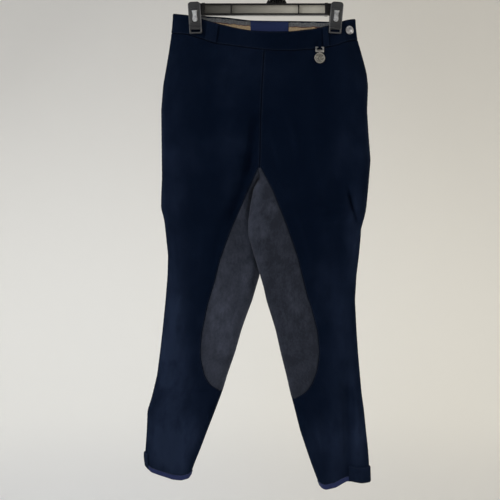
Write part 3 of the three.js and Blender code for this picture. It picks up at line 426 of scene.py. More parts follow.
# %% Ribbon, label, hem tape and thread
def ribbon_cloth():
    finish, tree, shader = start_finish("striped_ribbon", 0.85, Specular_IOR_Level=0.2, Sheen_Weight=0.2)
    along = cloth_map(tree)
    wander = noise(tree, along, 18.0, 3.0, 0.6, (4, 0.3, 1))
    down = added(tree, axes(tree, along)[1], times(tree, maths(tree, "SUBTRACT", wander, 0.5), 0.16))
    specks = added(tree, noise(tree, along, 9.0, 4.0, 0.8, (32, 1, 1)),
                   noise(tree, along, 26.0, 3.0, 0.7, (30, 1, 1)))
    melange = soft_step(tree, times(tree, specks, 0.5), 0.38, 0.62)
    grey = two_colours(tree, melange, (0.030, 0.034, 0.042), (0.150, 0.155, 0.165))
    tan = two_colours(tree, melange, (0.19, 0.135, 0.075), (0.46, 0.35, 0.22))
    brown_line = soft_step(tree, down, 0.215, 0.230)
    tan_band = soft_step(tree, down, 0.255, 0.270)
    colour = two_colours(tree, brown_line, grey, (0.060, 0.022, 0.022))
    feed(tree, shader.inputs["Base Color"], two_colours(tree, tan_band, colour, tan))
    ribs = add_node(tree, "ShaderNodeTexWave", {"bands_direction": "X"}, Vector=along, Scale=240.0)
    bumps(tree, shader, [(ribs.outputs["Fac"], 0.00010), (melange, 0.00015)])
    return finish


def woven_finish(name, dark, pale, rib_scale, rib_depth, sheen):
    finish, tree, shader = start_finish(name, 0.82, Specular_IOR_Level=0.25, Sheen_Weight=sheen)
    along = cloth_map(tree)
    grain = noise(tree, along, 300.0, 3.0, 0.6)
    broad = noise(tree, along, 30.0, 2.0, 0.5)
    tone = added(tree, times(tree, grain, 0.6), times(tree, broad, 0.4))
    feed(tree, shader.inputs["Base Color"], two_colours(tree, tone, dark, pale))
    ribs = add_node(tree, "ShaderNodeTexWave", {"bands_direction": "X"}, Vector=along, Scale=rib_scale,
                    Distortion=0.4)
    bumps(tree, shader, [(ribs.outputs["Fac"], rib_depth), (grain, 0.00008)])
    return finish


RIBBON_FINISH = ribbon_cloth()
WOVEN = [
    # name, dark, pale, ribs in a metre, rib depth in metres, sheen
    ("plain_label", (0.004, 0.010, 0.048), (0.009, 0.021, 0.088), 420.0, 0.00005, 0.05),
    ("royal_hem_tape", (0.004, 0.009, 0.048), (0.015, 0.026, 0.100), 260.0, 0.00022, 0.12),
    ("navy_thread", (0.003, 0.006, 0.014), (0.010, 0.015, 0.030), 900.0, 0.00002, 0.04),
]
LABEL_FINISH, TAPE_FINISH, THREAD_FINISH = (woven_finish(*row) for row in WOVEN)
print("woven finishes:", RIBBON_FINISH.name, LABEL_FINISH.name, TAPE_FINISH.name, THREAD_FINISH.name)

# %% [markdown]
# Hard parts: the hanger's bar is glossy moulded plastic with faint sink marks and fine scratches, its
# clips are a little duller, the springs and hook are bright steel, and the button, zip and charm are a
# softer, slightly worn silver that is darker in its hollows.

# %% Plastics and metals
def moulded(name, colour, roughness, scratch):
    finish, tree, shader = start_finish(name, roughness, Specular_IOR_Level=0.5)
    place = position(tree)
    smears = noise(tree, place, 28.0, 4.0, 0.6)
    fine = noise(tree, place, 420.0, 2.0, 0.5, (0.15, 1, 1))
    dulled = tuple(c * 2.2 for c in colour)
    feed(tree, shader.inputs["Base Color"], two_colours(tree, smears, colour, dulled))
    rough = added(tree, roughness - 0.06, times(tree, smears, 0.14),
                  share_between(tree, fine, 0.60, 0.78, scratch))
    feed(tree, shader.inputs["Roughness"], rough)
    bumps(tree, shader, [(smears, 0.00035), (fine, 0.00002)])
    return finish


def metal(name, dark, bright, roughness, grain_stretch):
    finish, tree, shader = start_finish(name, roughness, metallic=1.0)
    place = position(tree)
    tarnish = noise(tree, place, 190.0, 4.0, 0.6)
    grain = noise(tree, place, 1400.0, 2.0, 0.5, grain_stretch)
    colour = two_colours(tree, soft_step(tree, tarnish, 0.32, 0.62), dark, bright)
    feed(tree, shader.inputs["Base Color"], colour)
    feed(tree, shader.inputs["Roughness"], added(tree, roughness - 0.05, times(tree, grain, 0.14)))
    bumps(tree, shader, [(grain, 0.00002)])
    return finish


BAR_BLACK = (0.0040, 0.0040, 0.0048)
BAR_PAINTED_REFLECTION = (0.440, 0.425, 0.375)


def bar_plastic():
    """Glossy black, with a painted reflection: pale grey on the web between the bar's two flanges, brighter
    towards the wearer's left.
    """
    finish, tree, shader = start_finish("glossy_black_plastic", 0.18, Specular_IOR_Level=0.22)
    place = position(tree)
    x, y, z = axes(tree, place)
    smears = noise(tree, place, 22.0, 4.0, 0.6, (0.5, 1, 1))
    fine = noise(tree, place, 420.0, 2.0, 0.5, (0.15, 1, 1))
    # Painted reflection: pale grey on the web between the flanges, brighter towards the wearer's left,
    # broken up by smears.
    in_hollow = times(tree, soft_step(tree, z, -0.1140, -0.1122), soft_step(tree, z, -0.0955, -0.0972))
    in_hollow = times(tree, in_hollow, soft_step(tree, maths(tree, "ABSOLUTE", y), 0.0036, 0.0028))
    painted_reflection = added(tree, 0.13, share_between(tree, x, -0.15, 0.08, 0.80))
    painted_reflection = times(tree, painted_reflection, added(tree, 0.55, times(tree, smears, 0.8)))
    painted_reflection = times(tree, painted_reflection, in_hollow)
    feed(tree, shader.inputs["Base Color"], two_colours(tree, painted_reflection, BAR_BLACK, BAR_PAINTED_REFLECTION))
    feed(tree, shader.inputs["Roughness"], added(tree, 0.14, share_between(tree, fine, 0.60, 0.78, 0.18)))
    bumps(tree, shader, [(smears, 0.00035), (fine, 0.00002)])
    return finish


BAR_FINISH = bar_plastic()
CLIP_FINISH = moulded("satin_black_plastic", (0.0085, 0.0092, 0.0112), 0.40, 0.20)
STEEL_FINISH = metal("bright_steel", (0.22, 0.225, 0.24), (0.44, 0.45, 0.47), 0.34, (1, 1, 0.1))
PEWTER_FINISH = metal("soft_silver", (0.15, 0.15, 0.155), (0.50, 0.49, 0.48), 0.36, (1, 1, 1))
BUTTON_FINISH = metal("button_silver", (0.15, 0.15, 0.16), (0.33, 0.33, 0.34), 0.36, (1, 1, 1))
DISC_CENTRE = (0.0856, 0.0, -0.2030)
DISC_RIM = 0.0093


def charm_metal():
    """Cast pewter: a bright worn rim round a darker, blank face with the pitted grain of the casting."""
    finish, tree, shader = start_finish("cast_pewter", 0.38, metallic=1.0)
    place = position(tree)
    flat = add_node(tree, "ShaderNodeMapping", None, Vector=place, Scale=(1, 0, 1),
                    Location=(-DISC_CENTRE[0], 0, -DISC_CENTRE[2]))
    rim = soft_step(tree, vector_length(tree, flat.outputs[0]), DISC_RIM - 0.0006, DISC_RIM)
    pits = noise(tree, place, 330.0, 3.0, 0.7)
    ring_settings = {"wave_type": "RINGS", "rings_direction": "SPHERICAL"}
    rings_of_grain = add_node(tree, "ShaderNodeTexWave", ring_settings, Vector=flat.outputs[0], Scale=125.0,
                              Distortion=7.0, Detail=3.0)
    relief = added(tree, times(tree, rings_of_grain.outputs["Fac"], 0.22), times(tree, pits, 0.85))
    face = two_colours(tree, soft_step(tree, relief, 0.35, 0.80), (0.085, 0.085, 0.08), (0.42, 0.41, 0.38))
    feed(tree, shader.inputs["Base Color"], two_colours(tree, rim, face, (0.34, 0.33, 0.31)))
    feed(tree, shader.inputs["Roughness"], added(tree, 0.30, times(tree, pits, 0.2)))
    bumps(tree, shader, [(relief, 0.00025), (rim, 0.0006)])
    return finish


DISC_FINISH = charm_metal()
print("hard finishes:", BAR_FINISH.name, CLIP_FINISH.name, STEEL_FINISH.name, PEWTER_FINISH.name)

# %% [markdown]
# ## The cut of the cloth
#
# The outlines come from the same short tables as the solids: where the seams run, how deep the garment
# is from front to back, and where the suede's edges lie. `look` reads a table between its rows, and
# averages over a few millimetres, so that straight runs between rows meet in soft curves.

# %% Sizes and tables
SEAM_GAP = 0.3
TOUCH_GAP = 0.02
CLOTH = 1.3
BAND = 2.0
RIBBON = 0.8
LABEL = 0.5
WAIST_HALF_DEPTH = 3.2
FRONT_BOW = 14.5
BACK_BOW = 8.5
BOW_CENTRE_X = -22.5
BOW_HALF_SPAN = 123
BOW_POWER = 1.5
END_TURN_START_X = 135
END_TURN_EASE = 12
END_TURN_SLOPE = 0.6
WAIST_BLEND = 150
FIRST_ROW = 150
WAIST_CURVE_END = 306
HEM_SLANT_START = 906
FORK_DROP = 442
FORK_DEPTH = 45
PATCH_TOP = 423
SEAT_TOP = 252
SEAT_END = 866


def table(columns, rows):
    return {name: np.array(values, float) for name, values in zip(columns.split(), zip(*rows))}


def look(rows, key, at, value, reach=5.0):
    spread = (-1.0, -0.5, 0.0, 0.5, 1.0)
    return sum(np.interp(at + part * reach, rows[key], rows[value]) for part in spread) / len(spread)


FRONT_TOP = table("x drop", [
    (-206, 113.5), (-176, 116.5), (-149, 124), (-115, 134.5), (-81, 144), (-52, 150), (-17, 152.5),
    (26, 151.5), (76, 144), (103, 137), (132, 128), (145, 124.5), (158, 121.5)])
FRONT_SEAM = table("x drop", [
    (-206, 153), (-177, 155), (-149, 163), (-119, 174), (-81, 180), (-53, 185), (-10, 190), (26, 190),
    (73, 185), (105, 179), (132, 170), (161, 163)])
BACK_TOP = table("x drop", [
    (-206, 113.5), (-176, 116.5), (-101, 119.5), (-53, 124.5), (29, 126), (103, 129), (132, 128),
    (145, 124.5), (158, 121.5)])
BACK_SEAM = table("x drop", [
    (-206, 153), (-176, 156), (-101, 161), (-53, 166.5), (29, 168), (103, 169), (132, 167.5), (161, 163)])
RIGHT_OUTSIDE = table("drop x", [
    (115, -207), (154, -210), (206, -218), (256, -226.5), (306, -230.5), (442, -229), (476, -230.5),
    (502, -231), (516, -227), (530, -224), (558, -221), (596, -217), (636, -218), (686, -222), (746, -228),
    (790, -233), (836, -239), (870, -247), (888, -252), (906, -258), (946, -259.5), (982, -262),
    (1000, -263), (1018, -260)])
LEFT_OUTSIDE = table("drop x", [
    (126, 159), (163, 163), (180, 169), (206, 176.5), (230, 182), (256, 184), (306, 181), (356, 184),
    (406, 188), (442, 185), (466, 183), (502, 179.5), (516, 177), (530, 173), (544, 169), (558, 168.5),
    (596, 165), (636, 160), (686, 157), (746, 160), (790, 163), (836, 167), (870, 170), (906, 175),
    (946, 179), (982, 183), (1010, 185), (1050, 186)])
CENTRE_ROWS = [(120, -23), (190, -25), (256, -29), (326, -32), (406, -33.5), (442, -35)]
RIGHT_MIDDLE = table("drop x", CENTRE_ROWS + [
    (454, -41.6), (467, -47.4), (502, -45), (530, -37), (558, -33), (596, -32), (636, -33.8), (660, -41),
    (686, -48.6), (716, -60), (746, -70.5), (790, -83), (836, -99), (870, -109), (906, -122.5),
    (946, -138), (982, -151.5), (1010, -163), (1032, -171)])
LEFT_MIDDLE = table("drop x", CENTRE_ROWS + [
    (454, -41), (467, -46.6), (502, -53), (530, -56.5), (558, -56), (596, -44.5), (636, -32.6), (660, -25.6),
    (686, -20), (716, -10.6), (746, -1.4), (790, 8.4), (836, 20), (870, 27.6), (906, 37), (946, 47),
    (982, 59), (1010, 68.5), (1042, 80.5), (1056, 87)])
DEPTHS = table("drop half outer_round inner_round passing", [
    (115, 4, 3.4, 24, 0), (163, 9, 3.6, 24, 0), (206, 15, 10, 24, 0), (256, 19, 16, 24, 0),
    (306, 22, 20, 24, 0), (356, 24, 24, 24, 0), (442, 24, 24, 24, 0), (454, 23, 24, 24, 3.5),
    (467, 22, 24, 24, 8), (502, 20, 24, 24, 13), (530, 18.5, 23, 24, 17), (558, 18, 22, 23, 17.5),
    (596, 17, 21, 22, 15), (636, 16.5, 20, 22, 11), (686, 16.5, 20, 20, 6), (746, 16.5, 20, 20, 2),
    (790, 16, 19, 19, 0), (906, 13, 16, 16, 0), (982, 11, 14, 14, 0), (1060, 12, 13, 13, 0)])
RIGHT_PATCH = table("drop x", [
    (421, -35), (467, -56), (542, -89), (605, -112), (646, -122), (692, -136), (749, -148), (785, -151),
    (803, -150), (835, -143), (853, -132), (861, -121), (865, -110)])
LEFT_PATCH = table("drop x", [
    (421, -33), (467, -9), (536, 18.5), (599, 40.5), (681, 61), (696, 67), (746, 80), (789, 84.5), (824, 80),
    (851, 70), (866, 60), (876, 47), (881, 33)])
SEAT_EDGE = table("drop share", [
    (250, 0.1), (262, 0.3), (285, 0.48), (330, 0.62), (400, 0.68), (480, 0.66), (560, 0.62), (680, 0.58),
    (760, 0.54), (800, 0.48), (840, 0.34), (858, 0.2), (866, 0.06)])
RIGHT_HEM = table("share drop", [
    (0, 1033), (0.04, 1040), (0.21, 1044), (0.4, 1042.5), (0.69, 1034), (0.88, 1028), (1, 1018)])
LEFT_HEM = table("share drop", [
    (0, 1055), (0.03, 1060), (0.11, 1062.5), (0.31, 1058), (0.465, 1050), (0.55, 1046.5), (0.645, 1046.5),
    (0.83, 1050), (1, 1048.5)])
SIDES = {
    "right": dict(sign=-1, outside=RIGHT_OUTSIDE, middle=RIGHT_MIDDLE, patch=RIGHT_PATCH, hem=RIGHT_HEM,
                  corner_x=-206, patch_end=865, hem_row=1040, tab_rise=36, tab_front=11, tab_back=34),
    "left": dict(sign=1, outside=LEFT_OUTSIDE, middle=LEFT_MIDDLE, patch=LEFT_PATCH, hem=LEFT_HEM,
                 corner_x=158, patch_end=881, hem_row=1050, tab_rise=32, tab_front=47, tab_back=26),
}
print("outlines read for", list(SIDES))

# %% [markdown]
# ## Folds
#
# Stretch cloth hangs smoothly, so there are few big folds and many faint ones. Each is placed one by one:
# it runs along a bent line through three points, is a trough where its height is negative, and fades
# out at both ends. The deepest lie beside the fork, where one leg hangs behind the other, and at the
# wearer's left hip, where the cloth has been pinched. The hidden back gets folds of the same kinds.

# %% Folds placed one by one
BIG_FOLDS = {
    # x1, drop1, x2, drop2, height, half_width
    ("right", "front"): [
        (-42, 340, -56, 420, -9, 11),
        (-56, 420, -84, 510, -7, 12),
        (-196, 640, -226, 880, 3, 18),
        (-170, 880, -206, 1010, -2.5, 14),
        (-190, 250, -196, 500, 2.5, 22),
    ],
    ("left", "front"): [
        (147, 482, 158, 522, -6, 4.6),
        (166, 470, 170, 505, 2.5, 9),
        (140, 870, 143, 1030, -6, 11),
        (118, 760, 122, 980, 2.5, 16),
        (60, 260, 96, 560, 2.5, 26),
    ],
    ("right", "back"): [
        (-150, 430, -205, 520, -6, 13),
        (-90, 860, -118, 900, -3, 12),
        (-180, 930, -206, 1010, 3, 14),
    ],
    ("left", "back"): [
        (96, 420, 150, 540, -6, 13),
        (60, 820, 108, 900, -4, 12),
        (120, 900, 140, 1020, -4, 12),
    ],
}
CREASES = {
    # x1, drop1, x2, drop2, x3, drop3, height, half_width
    ("left", "front"): [
        (141, 452, 145, 484, 157.5, 521, -2.4, 2.6),
        (157, 522, 166, 534, 178, 536, -1.8, 3.0),
        (70, 494, 112, 499, 150, 506, -0.8, 3.6),
        (88, 516, 124, 514, 154, 521, -0.9, 3.2),
        (96, 533, 130, 529, 160, 531, 0.7, 4.0),
        (100, 547, 132, 541, 168, 546, -0.8, 3.6),
        (128, 560, 140, 590, 146, 640, -1.1, 5.0),
        (152, 558, 156, 600, 150, 660, 1.0, 6.0),
        (110, 420, 122, 450, 142, 476, -0.7, 5.0),
        (6, 300, 30, 360, 34, 420, 0.8, 9.0),
        (-20, 330, -8, 380, 14, 430, 0.9, 6.0),
        (-26, 372, -8, 412, 20, 452, -0.7, 4.5),
        (24, 470, 52, 560, 74, 640, 0.8, 7.0),
        (100, 620, 108, 700, 104, 780, -0.9, 8.0),
        (132, 660, 128, 720, 132, 790, 1.0, 7.0),
        (146, 690, 142, 730, 148, 800, -0.9, 5.0),
        (100, 846, 92, 900, 98, 980, -0.9, 7.0),
        (72, 900, 84, 960, 96, 1020, 0.9, 7.0),
        (152, 850, 160, 920, 158, 1000, 1.5, 6.5),
        (132, 868, 130, 930, 134, 1020, 1.2, 5.0),
        (148, 800, 142, 840, 142, 890, -1.0, 6.0),
        (118, 200, 124, 260, 120, 330, -0.7, 9.0),
        (152, 200, 160, 260, 158, 330, 0.8, 7.0),
        (168, 330, 162, 380, 166, 430, -0.9, 6.0),
    ],
    ("right", "front"): [
        (-64, 300, -92, 340, -104, 400, 0.7, 9.0),
        (-40, 388, -70, 402, -104, 396, -0.8, 5.0),
        (-46, 372, -78, 372, -112, 358, 0.7, 6.0),
        (-62, 470, -84, 530, -116, 612, 1.1, 7.0),
        (-92, 480, -112, 540, -128, 620, -0.9, 7.0),
        (-226, 478, -212, 506, -190, 520, -1.2, 5.0),
        (-224, 520, -206, 530, -188, 556, 0.8, 5.0),
        (-150, 520, -152, 590, -160, 660, 0.8, 9.0),
        (-176, 560, -172, 620, -178, 690, -0.8, 8.0),
        (-188, 668, -200, 730, -206, 800, 1.3, 6.0),
        (-170, 690, -180, 760, -196, 830, -1.0, 6.0),
        (-204, 800, -216, 860, -224, 930, -0.9, 6.0),
        (-176, 812, -190, 860, -196, 900, 1.0, 7.0),
        (-158, 880, -166, 930, -186, 986, 0.9, 6.0),
        (-238, 900, -232, 950, -240, 1000, 0.9, 6.0),
        (-212, 920, -216, 960, -232, 1010, -1.1, 6.0),
        (-140, 900, -152, 950, -166, 1000, -0.8, 5.0),
        (-214, 240, -206, 300, -210, 372, -0.8, 8.0),
        (-150, 210, -146, 260, -152, 320, 0.7, 9.0),
    ],
    ("right", "back"): [
        (-46, 380, -88, 414, -140, 420, -2.2, 7.0),
        (-60, 440, -110, 470, -170, 470, -1.6, 6.0),
        (-70, 500, -110, 520, -150, 560, 1.2, 8.0),
        (-210, 470, -190, 510, -186, 580, -1.4, 6.0),
        (-120, 640, -132, 720, -160, 800, 1.2, 9.0),
        (-112, 780, -150, 800, -204, 790, -1.3, 6.0),
        (-116, 812, -156, 826, -214, 820, -1.6, 6.0),
        (-122, 846, -160, 856, -206, 846, -1.1, 6.0),
        (-150, 900, -170, 960, -190, 1020, 1.1, 7.0),
        (-120, 210, -126, 280, -150, 350, 1.0, 10.0),
    ],
    ("left", "back"): [
        (-20, 380, 24, 416, 84, 424, -2.2, 7.0),
        (-4, 446, 50, 474, 116, 476, -1.6, 6.0),
        (10, 500, 50, 524, 98, 566, 1.2, 8.0),
        (160, 470, 146, 520, 142, 590, -1.6, 6.0),
        (60, 640, 76, 720, 92, 800, 1.2, 9.0),
        (22, 790, 70, 806, 132, 796, -1.3, 6.0),
        (30, 824, 80, 838, 142, 830, -1.6, 6.0),
        (40, 858, 84, 868, 130, 858, -1.1, 6.0),
        (78, 910, 92, 970, 104, 1030, 1.1, 7.0),
        (78, 210, 84, 280, 104, 350, 1.0, 10.0),
    ],
}
THIGH_WRINKLES = 7
CREASE_STEPS = np.linspace(0, 1, 22)
FIRST_PULL = (1 - CREASE_STEPS) ** 2
MIDDLE_PULL = 2 * CREASE_STEPS * (1 - CREASE_STEPS)
LAST_PULL = CREASE_STEPS ** 2
CREASE_FADE = 0.25 + 0.75 * np.sin(math.pi * CREASE_STEPS) ** 0.7


def bent_line(first, middle, last):
    """One coordinate of a bent line that starts, passes and ends at three values."""
    pull = 2 * middle - (first + last) / 2
    return FIRST_PULL * first + MIDDLE_PULL * pull + LAST_PULL * last


def fold_height(side_name, face, x, drop, big_share=1.0):
    """Height of all folds at each point of one face, in millimetres outwards."""
    height = np.zeros_like(x)
    for x1, drop1, x2, drop2, rise, half_width in BIG_FOLDS[side_name, face]:
        length = math.hypot(x2 - x1, drop2 - drop1)
        along = ((x - x1) * (x2 - x1) + (drop - drop1) * (drop2 - drop1)) / length
        across = ((x - x1) * (drop2 - drop1) - (drop - drop1) * (x2 - x1)) / length
        beyond = np.maximum(0, np.maximum(-along, along - length)) / (2 * half_width)
        height += big_share * rise * np.exp(-(across / half_width) ** 2 - beyond ** 2)
    for x1, drop1, x2, drop2, x3, drop3, rise, half_width in CREASES[side_name, face]:
        margin = 4 * half_width
        near = ((drop > min(drop1, drop2, drop3) - margin) & (drop < max(drop1, drop2, drop3) + margin)
                & (x > min(x1, x2, x3) - margin) & (x < max(x1, x2, x3) + margin))
        if near.any():
            away = ((x[near][:, None] - bent_line(x1, x2, x3)) ** 2
                    + (drop[near][:, None] - bent_line(drop1, drop2, drop3)) ** 2)
            height[near] += rise * (CREASE_FADE * np.exp(-away / half_width ** 2)).max(axis=1)
    return height


def unevenness(side_name, face, x, drop):
    """Faint waves that keep the cloth from lying perfectly smooth."""
    shift = {"right": 0.0, "left": 2.3}[side_name] + {"front": 0.0, "back": 4.1}[face]
    broad = np.sin(x / 33 + 1.7 * np.sin(drop / 83 + shift))
    broad = broad * np.sin(drop / 61 + 1.3 * np.sin(x / 41 + shift))
    small = np.sin(x / 12 + 2.1 * np.sin(drop / 39 + shift)) * np.sin(drop / 95 + shift + x / 57)
    cross = np.sin(drop / 17 + 1.9 * np.sin(x / 29 + shift)) * np.sin(x / 71 + shift)
    return 0.75 * broad + 0.28 * small + 0.16 * cross


def thigh_wrinkles(side_name, face, x, drop):
    """Fine upright wrinkles in the suede of the rear leg, just below the fork."""
    if (side_name, face) != ("right", "front"):
        return 0.0
    height = 0.0
    for i in range(THIGH_WRINKLES):
        line = -52 - 6.2 * i - (drop - 470) * (0.26 + 0.035 * i)
        reach = np.exp(-((drop - 500 - 7 * i) / (34 + 4 * (i % 3))) ** 2)
        height = height + (0.75 - 0.06 * i) * reach * np.exp(-((x - line) / 2.1) ** 2)
    return height


print("folds:", sum(map(len, BIG_FOLDS.values())), "creases:", sum(map(len, CREASES.values())))

# %% [markdown]
# ## Round the body in rings
#
# At each level the cloth is a ring: along the front from the centre to the side seam, then back along
# the rear. Arrays hold every ring at once. `moved` reads points at given lengths round the rings and
# can push them in or out of the cloth, which is how walls, tapes and stitches get their places.

# %% Rings of the legs and waist
FOLD_STEPS = 18
FLAT_STEPS = 120
CENTRE_X = -24
SEAT_FULLNESS = 0.2
SEAT_RISE = 120
SIDE_THINNING = 0.2


def smooth(value):
    part = np.clip(value, 0, 1)
    return part * part * (3 - 2 * part)


def mix(a, b, part):
    return a + (b - a) * part


def rings(side_name, drops=None, bands=None):
    """Every ring of a leg at its drops, or of the waistband at shares of its height."""
    side = SIDES[side_name]
    is_band = bands is not None
    level = np.array(bands if is_band else drops, float)[:, None]
    nominal = np.full_like(level, FIRST_ROW) if is_band else level
    gap = TOUCH_GAP / 2 * side["sign"]

    def middle_x(drop):
        return look(side["middle"], "drop", drop, "x") + gap

    above_fork = np.clip((FORK_DROP - nominal) / FORK_DEPTH, 0, 1)
    opened = np.sqrt(1 - (1 - above_fork) ** 2)
    outer_round = look(DEPTHS, "drop", nominal, "outer_round")
    inner_round = look(DEPTHS, "drop", nominal, "inner_round")
    width = np.abs(look(side["outside"], "drop", nominal, "x") - middle_x(nominal))
    arc = 1 - np.cos(np.linspace(0, math.pi / 2, FOLD_STEPS))
    flat = np.linspace(0, 1, FLAT_STEPS)[1:-1]
    share = np.hstack([inner_round * arc, mix(inner_round, width - outer_round, flat),
                       width - outer_round * arc[::-1]]) / width

    def face_points(face):
        seam_table = FRONT_SEAM if face == "front" else BACK_SEAM
        top_table = FRONT_TOP if face == "front" else BACK_TOP
        flat_x = mix(CENTRE_X, side["corner_x"], share)
        seam = look(seam_table, "x", flat_x, "drop")
        if is_band:
            drop = mix(look(top_table, "x", flat_x, "drop"), seam - TOUCH_GAP, level)
        else:
            fade = 1 - smooth((nominal - FIRST_ROW) / (WAIST_CURVE_END - FIRST_ROW))
            hem = look(side["hem"], "share", share, "drop", 0.02)
            slant = (nominal - HEM_SLANT_START) / (side["hem_row"] - HEM_SLANT_START)
            curved = nominal + (seam - FIRST_ROW) * fade
            drop = np.where(nominal < WAIST_CURVE_END, curved, nominal + 0 * share)
            drop = np.where(nominal > HEM_SLANT_START, mix(HEM_SLANT_START, hem, slant), drop)
        x = mix(middle_x(drop), look(side["outside"], "drop", drop, "x"), share)
        from_inner = np.clip(share * width / inner_round, 0, 1)
        from_outer = np.clip((1 - share) * width / outer_round, 0, 1)
        inner_end = np.sqrt(1 - (1 - from_inner) ** 2)
        outer_end = np.sqrt(1 - (1 - from_outer) ** 2)
        seam_drop = look(seam_table, "x", x, "drop")
        body = 0.0 if is_band else smooth((drop - seam_drop) / WAIST_BLEND)
        spread = np.clip(1 - ((x - BOW_CENTRE_X) / BOW_HALF_SPAN) ** 2, 0, 1) ** BOW_POWER
        at_waist = WAIST_HALF_DEPTH + (FRONT_BOW if face == "front" else BACK_BOW) * spread
        seat = 1 + SEAT_FULLNESS * smooth((FORK_DROP - drop) / SEAT_RISE) if face == "back" else 1.0
        at_body = look(DEPTHS, "drop", drop, "half") * (1 - SIDE_THINNING * share ** 2) * seat
        folds = (fold_height(side_name, face, x, drop) + unevenness(side_name, face, x, drop)
                 + thigh_wrinkles(side_name, face, x, drop))
        half = mix(at_waist, at_body, body) + folds * body * outer_end
        deep = half * outer_end * (opened + (1 - opened) * inner_end)
        past = np.maximum(0, x - END_TURN_START_X)
        eased = np.where(past < END_TURN_EASE, past ** 2 / (2 * END_TURN_EASE), past - END_TURN_EASE / 2)
        turned = END_TURN_SLOPE * eased * (1 - body)
        passing = -side["sign"] * look(DEPTHS, "drop", drop, "passing") * (1 - share) ** 2
        return x, passing + turned + (-deep if face == "front" else deep), drop

    front = face_points("front")
    back = face_points("back")
    x, y, drop = (np.hstack([f, b[:, -2::-1]]) for f, b in zip(front, back))
    lengths = np.hstack([np.zeros((len(x), 1)), np.cumsum(np.hypot(np.diff(x), np.diff(y)), axis=1)])
    return dict(side=side_name, sign=side["sign"], level=level[:, 0], x=x, y=y, drop=drop, lengths=lengths,
                share=np.hstack([share, share[:, -2::-1]]), seam=share.shape[1] - 1,
                side_length=lengths[:, share.shape[1] - 1], full=lengths[:, -1], closed=opened[:, 0] == 0)


def chosen(cloth, rows):
    """The same cloth with some of its rings only."""
    return {key: (value[rows] if isinstance(value, np.ndarray) else value) for key, value in cloth.items()}


TANGENT_REACH = 1.2


def moved(cloth, at, depth):
    """Points at lengths round each ring, pushed inwards by depth; shapes are rings by columns."""
    points = np.empty(at.shape + (3,))
    depth = np.broadcast_to(depth, at.shape)
    for r in range(len(at)):
        lengths, full = cloth["lengths"][r], cloth["full"][r]

        def place(where):
            where = np.mod(where, full) if cloth["closed"][r] else np.clip(where, 0, full)
            return (np.interp(where, lengths, cloth["x"][r]), np.interp(where, lengths, cloth["y"][r]),
                    np.interp(where, lengths, cloth["drop"][r]))

        x, y, drop = place(at[r])
        before_x, before_y, _ = place(at[r] - TANGENT_REACH)
        after_x, after_y, _ = place(at[r] + TANGENT_REACH)
        along = np.hypot(after_x - before_x, after_y - before_y)
        points[r, :, 0] = x - cloth["sign"] * depth[r] * (after_y - before_y) / along
        points[r, :, 1] = y + cloth["sign"] * depth[r] * (after_x - before_x) / along
        points[r, :, 2] = -drop
    return points


def length_at_x(cloth, x, face):
    """Length round each ring where one face passes each x."""
    part = slice(0, cloth["seam"] + 1) if face == "front" else slice(cloth["seam"], None)
    found = []
    for r, wanted in enumerate(np.broadcast_to(x, len(cloth["x"]))):
        xs, lengths = cloth["x"][r, part] * cloth["sign"], cloth["lengths"][r, part]
        if face == "back":
            xs, lengths = xs[::-1], lengths[::-1]
        found.append(np.interp(wanted * cloth["sign"], np.maximum.accumulate(xs), lengths))
    return np.array(found)


def length_at_share(cloth, share):
    """Length round each ring where the back passes each share of the leg's width."""
    back = slice(cloth["seam"], None)
    return np.array([np.interp(s, cloth["share"][r, back][::-1], cloth["lengths"][r, back][::-1])
                     for r, s in enumerate(share)])


ROW_STEP = 2.7
LEAST_ROW_STEP = 0.3


def leg_rows(side_name):
    """Drops of a leg's rings: even steps, and closer ones at the waist and round the suede's lower end."""
    side = SIDES[side_name]
    extra = [FIRST_ROW + 0.7, FIRST_ROW + 1.5, FIRST_ROW + 2.3, SEAT_TOP, PATCH_TOP, side["patch_end"],
             side["patch_end"] + 0.5, side["hem_row"]]
    extra += list(side["patch_end"] - np.array([1, 2.2, 3.6, 5.2]))
    rows = np.unique(np.concatenate([np.arange(FIRST_ROW, side["hem_row"] - 1, ROW_STEP), extra]))
    keep = np.concatenate([[True], np.diff(rows) > LEAST_ROW_STEP])
    return rows[keep | np.isin(rows, extra)]


LEGS = {name: rings(name, drops=leg_rows(name)) for name in SIDES}
for name, leg in LEGS.items():
    print(name, "rings:", len(leg["level"]), "closed below the fork:", int(leg["closed"].sum()))

# %% [markdown]
# ## Cloth walls
#
# A panel is two grids of points, an outer face and an inner one, joined round the edge. Near a seam the
# columns crowd together, so the face can roll down into the seam, swell over the seam allowance, sink
# under the stitches and pucker a little. A panel keeps, for each point, how far the nearest edge is.

# %% From grids to meshes
NEAR_EDGE = np.array([0, 0.5, 1.1, 1.7, 2.3, 2.9, 4.0, 6.0])
FULL_CROWDING = 34
STITCH_INSET = 2.3
FAR_FROM_EDGE = 30.0


def crowded(start, end, middle):
    """Lengths from start to end on every ring, crowded at both ends."""
    scale = np.minimum(1, (end - start) / FULL_CROWDING)[:, None]
    first = start[:, None] + NEAR_EDGE * scale
    last = end[:, None] - NEAR_EDGE[::-1] * scale
    inner = np.linspace(0, 1, middle + 2)[1:-1]
    return np.hstack([first, mix(first[:, -1:], last[:, :1], inner), last])


def hill(distance, middle, half_width):
    return np.exp(-((distance - middle) / half_width) ** 2)


def seam_relief(distance, along, stitched):
    """Height beside a seam: rolled edge, swell over the allowance, pinch of the stitches and puckers."""
    roll = -0.75 * hill(distance, 0, 0.75)
    swell = 0.30 * hill(distance, 4.2, 2.6)
    pinch = -0.30 * hill(distance, STITCH_INSET, 0.6) if stitched else 0.0
    strength = 0.17 if stitched else 0.11
    pucker = strength * np.sin(along * 0.62 + 1.6 * np.sin(along * 0.093)) * hill(distance, 4, 4.5)
    return roll + swell + pinch + pucker


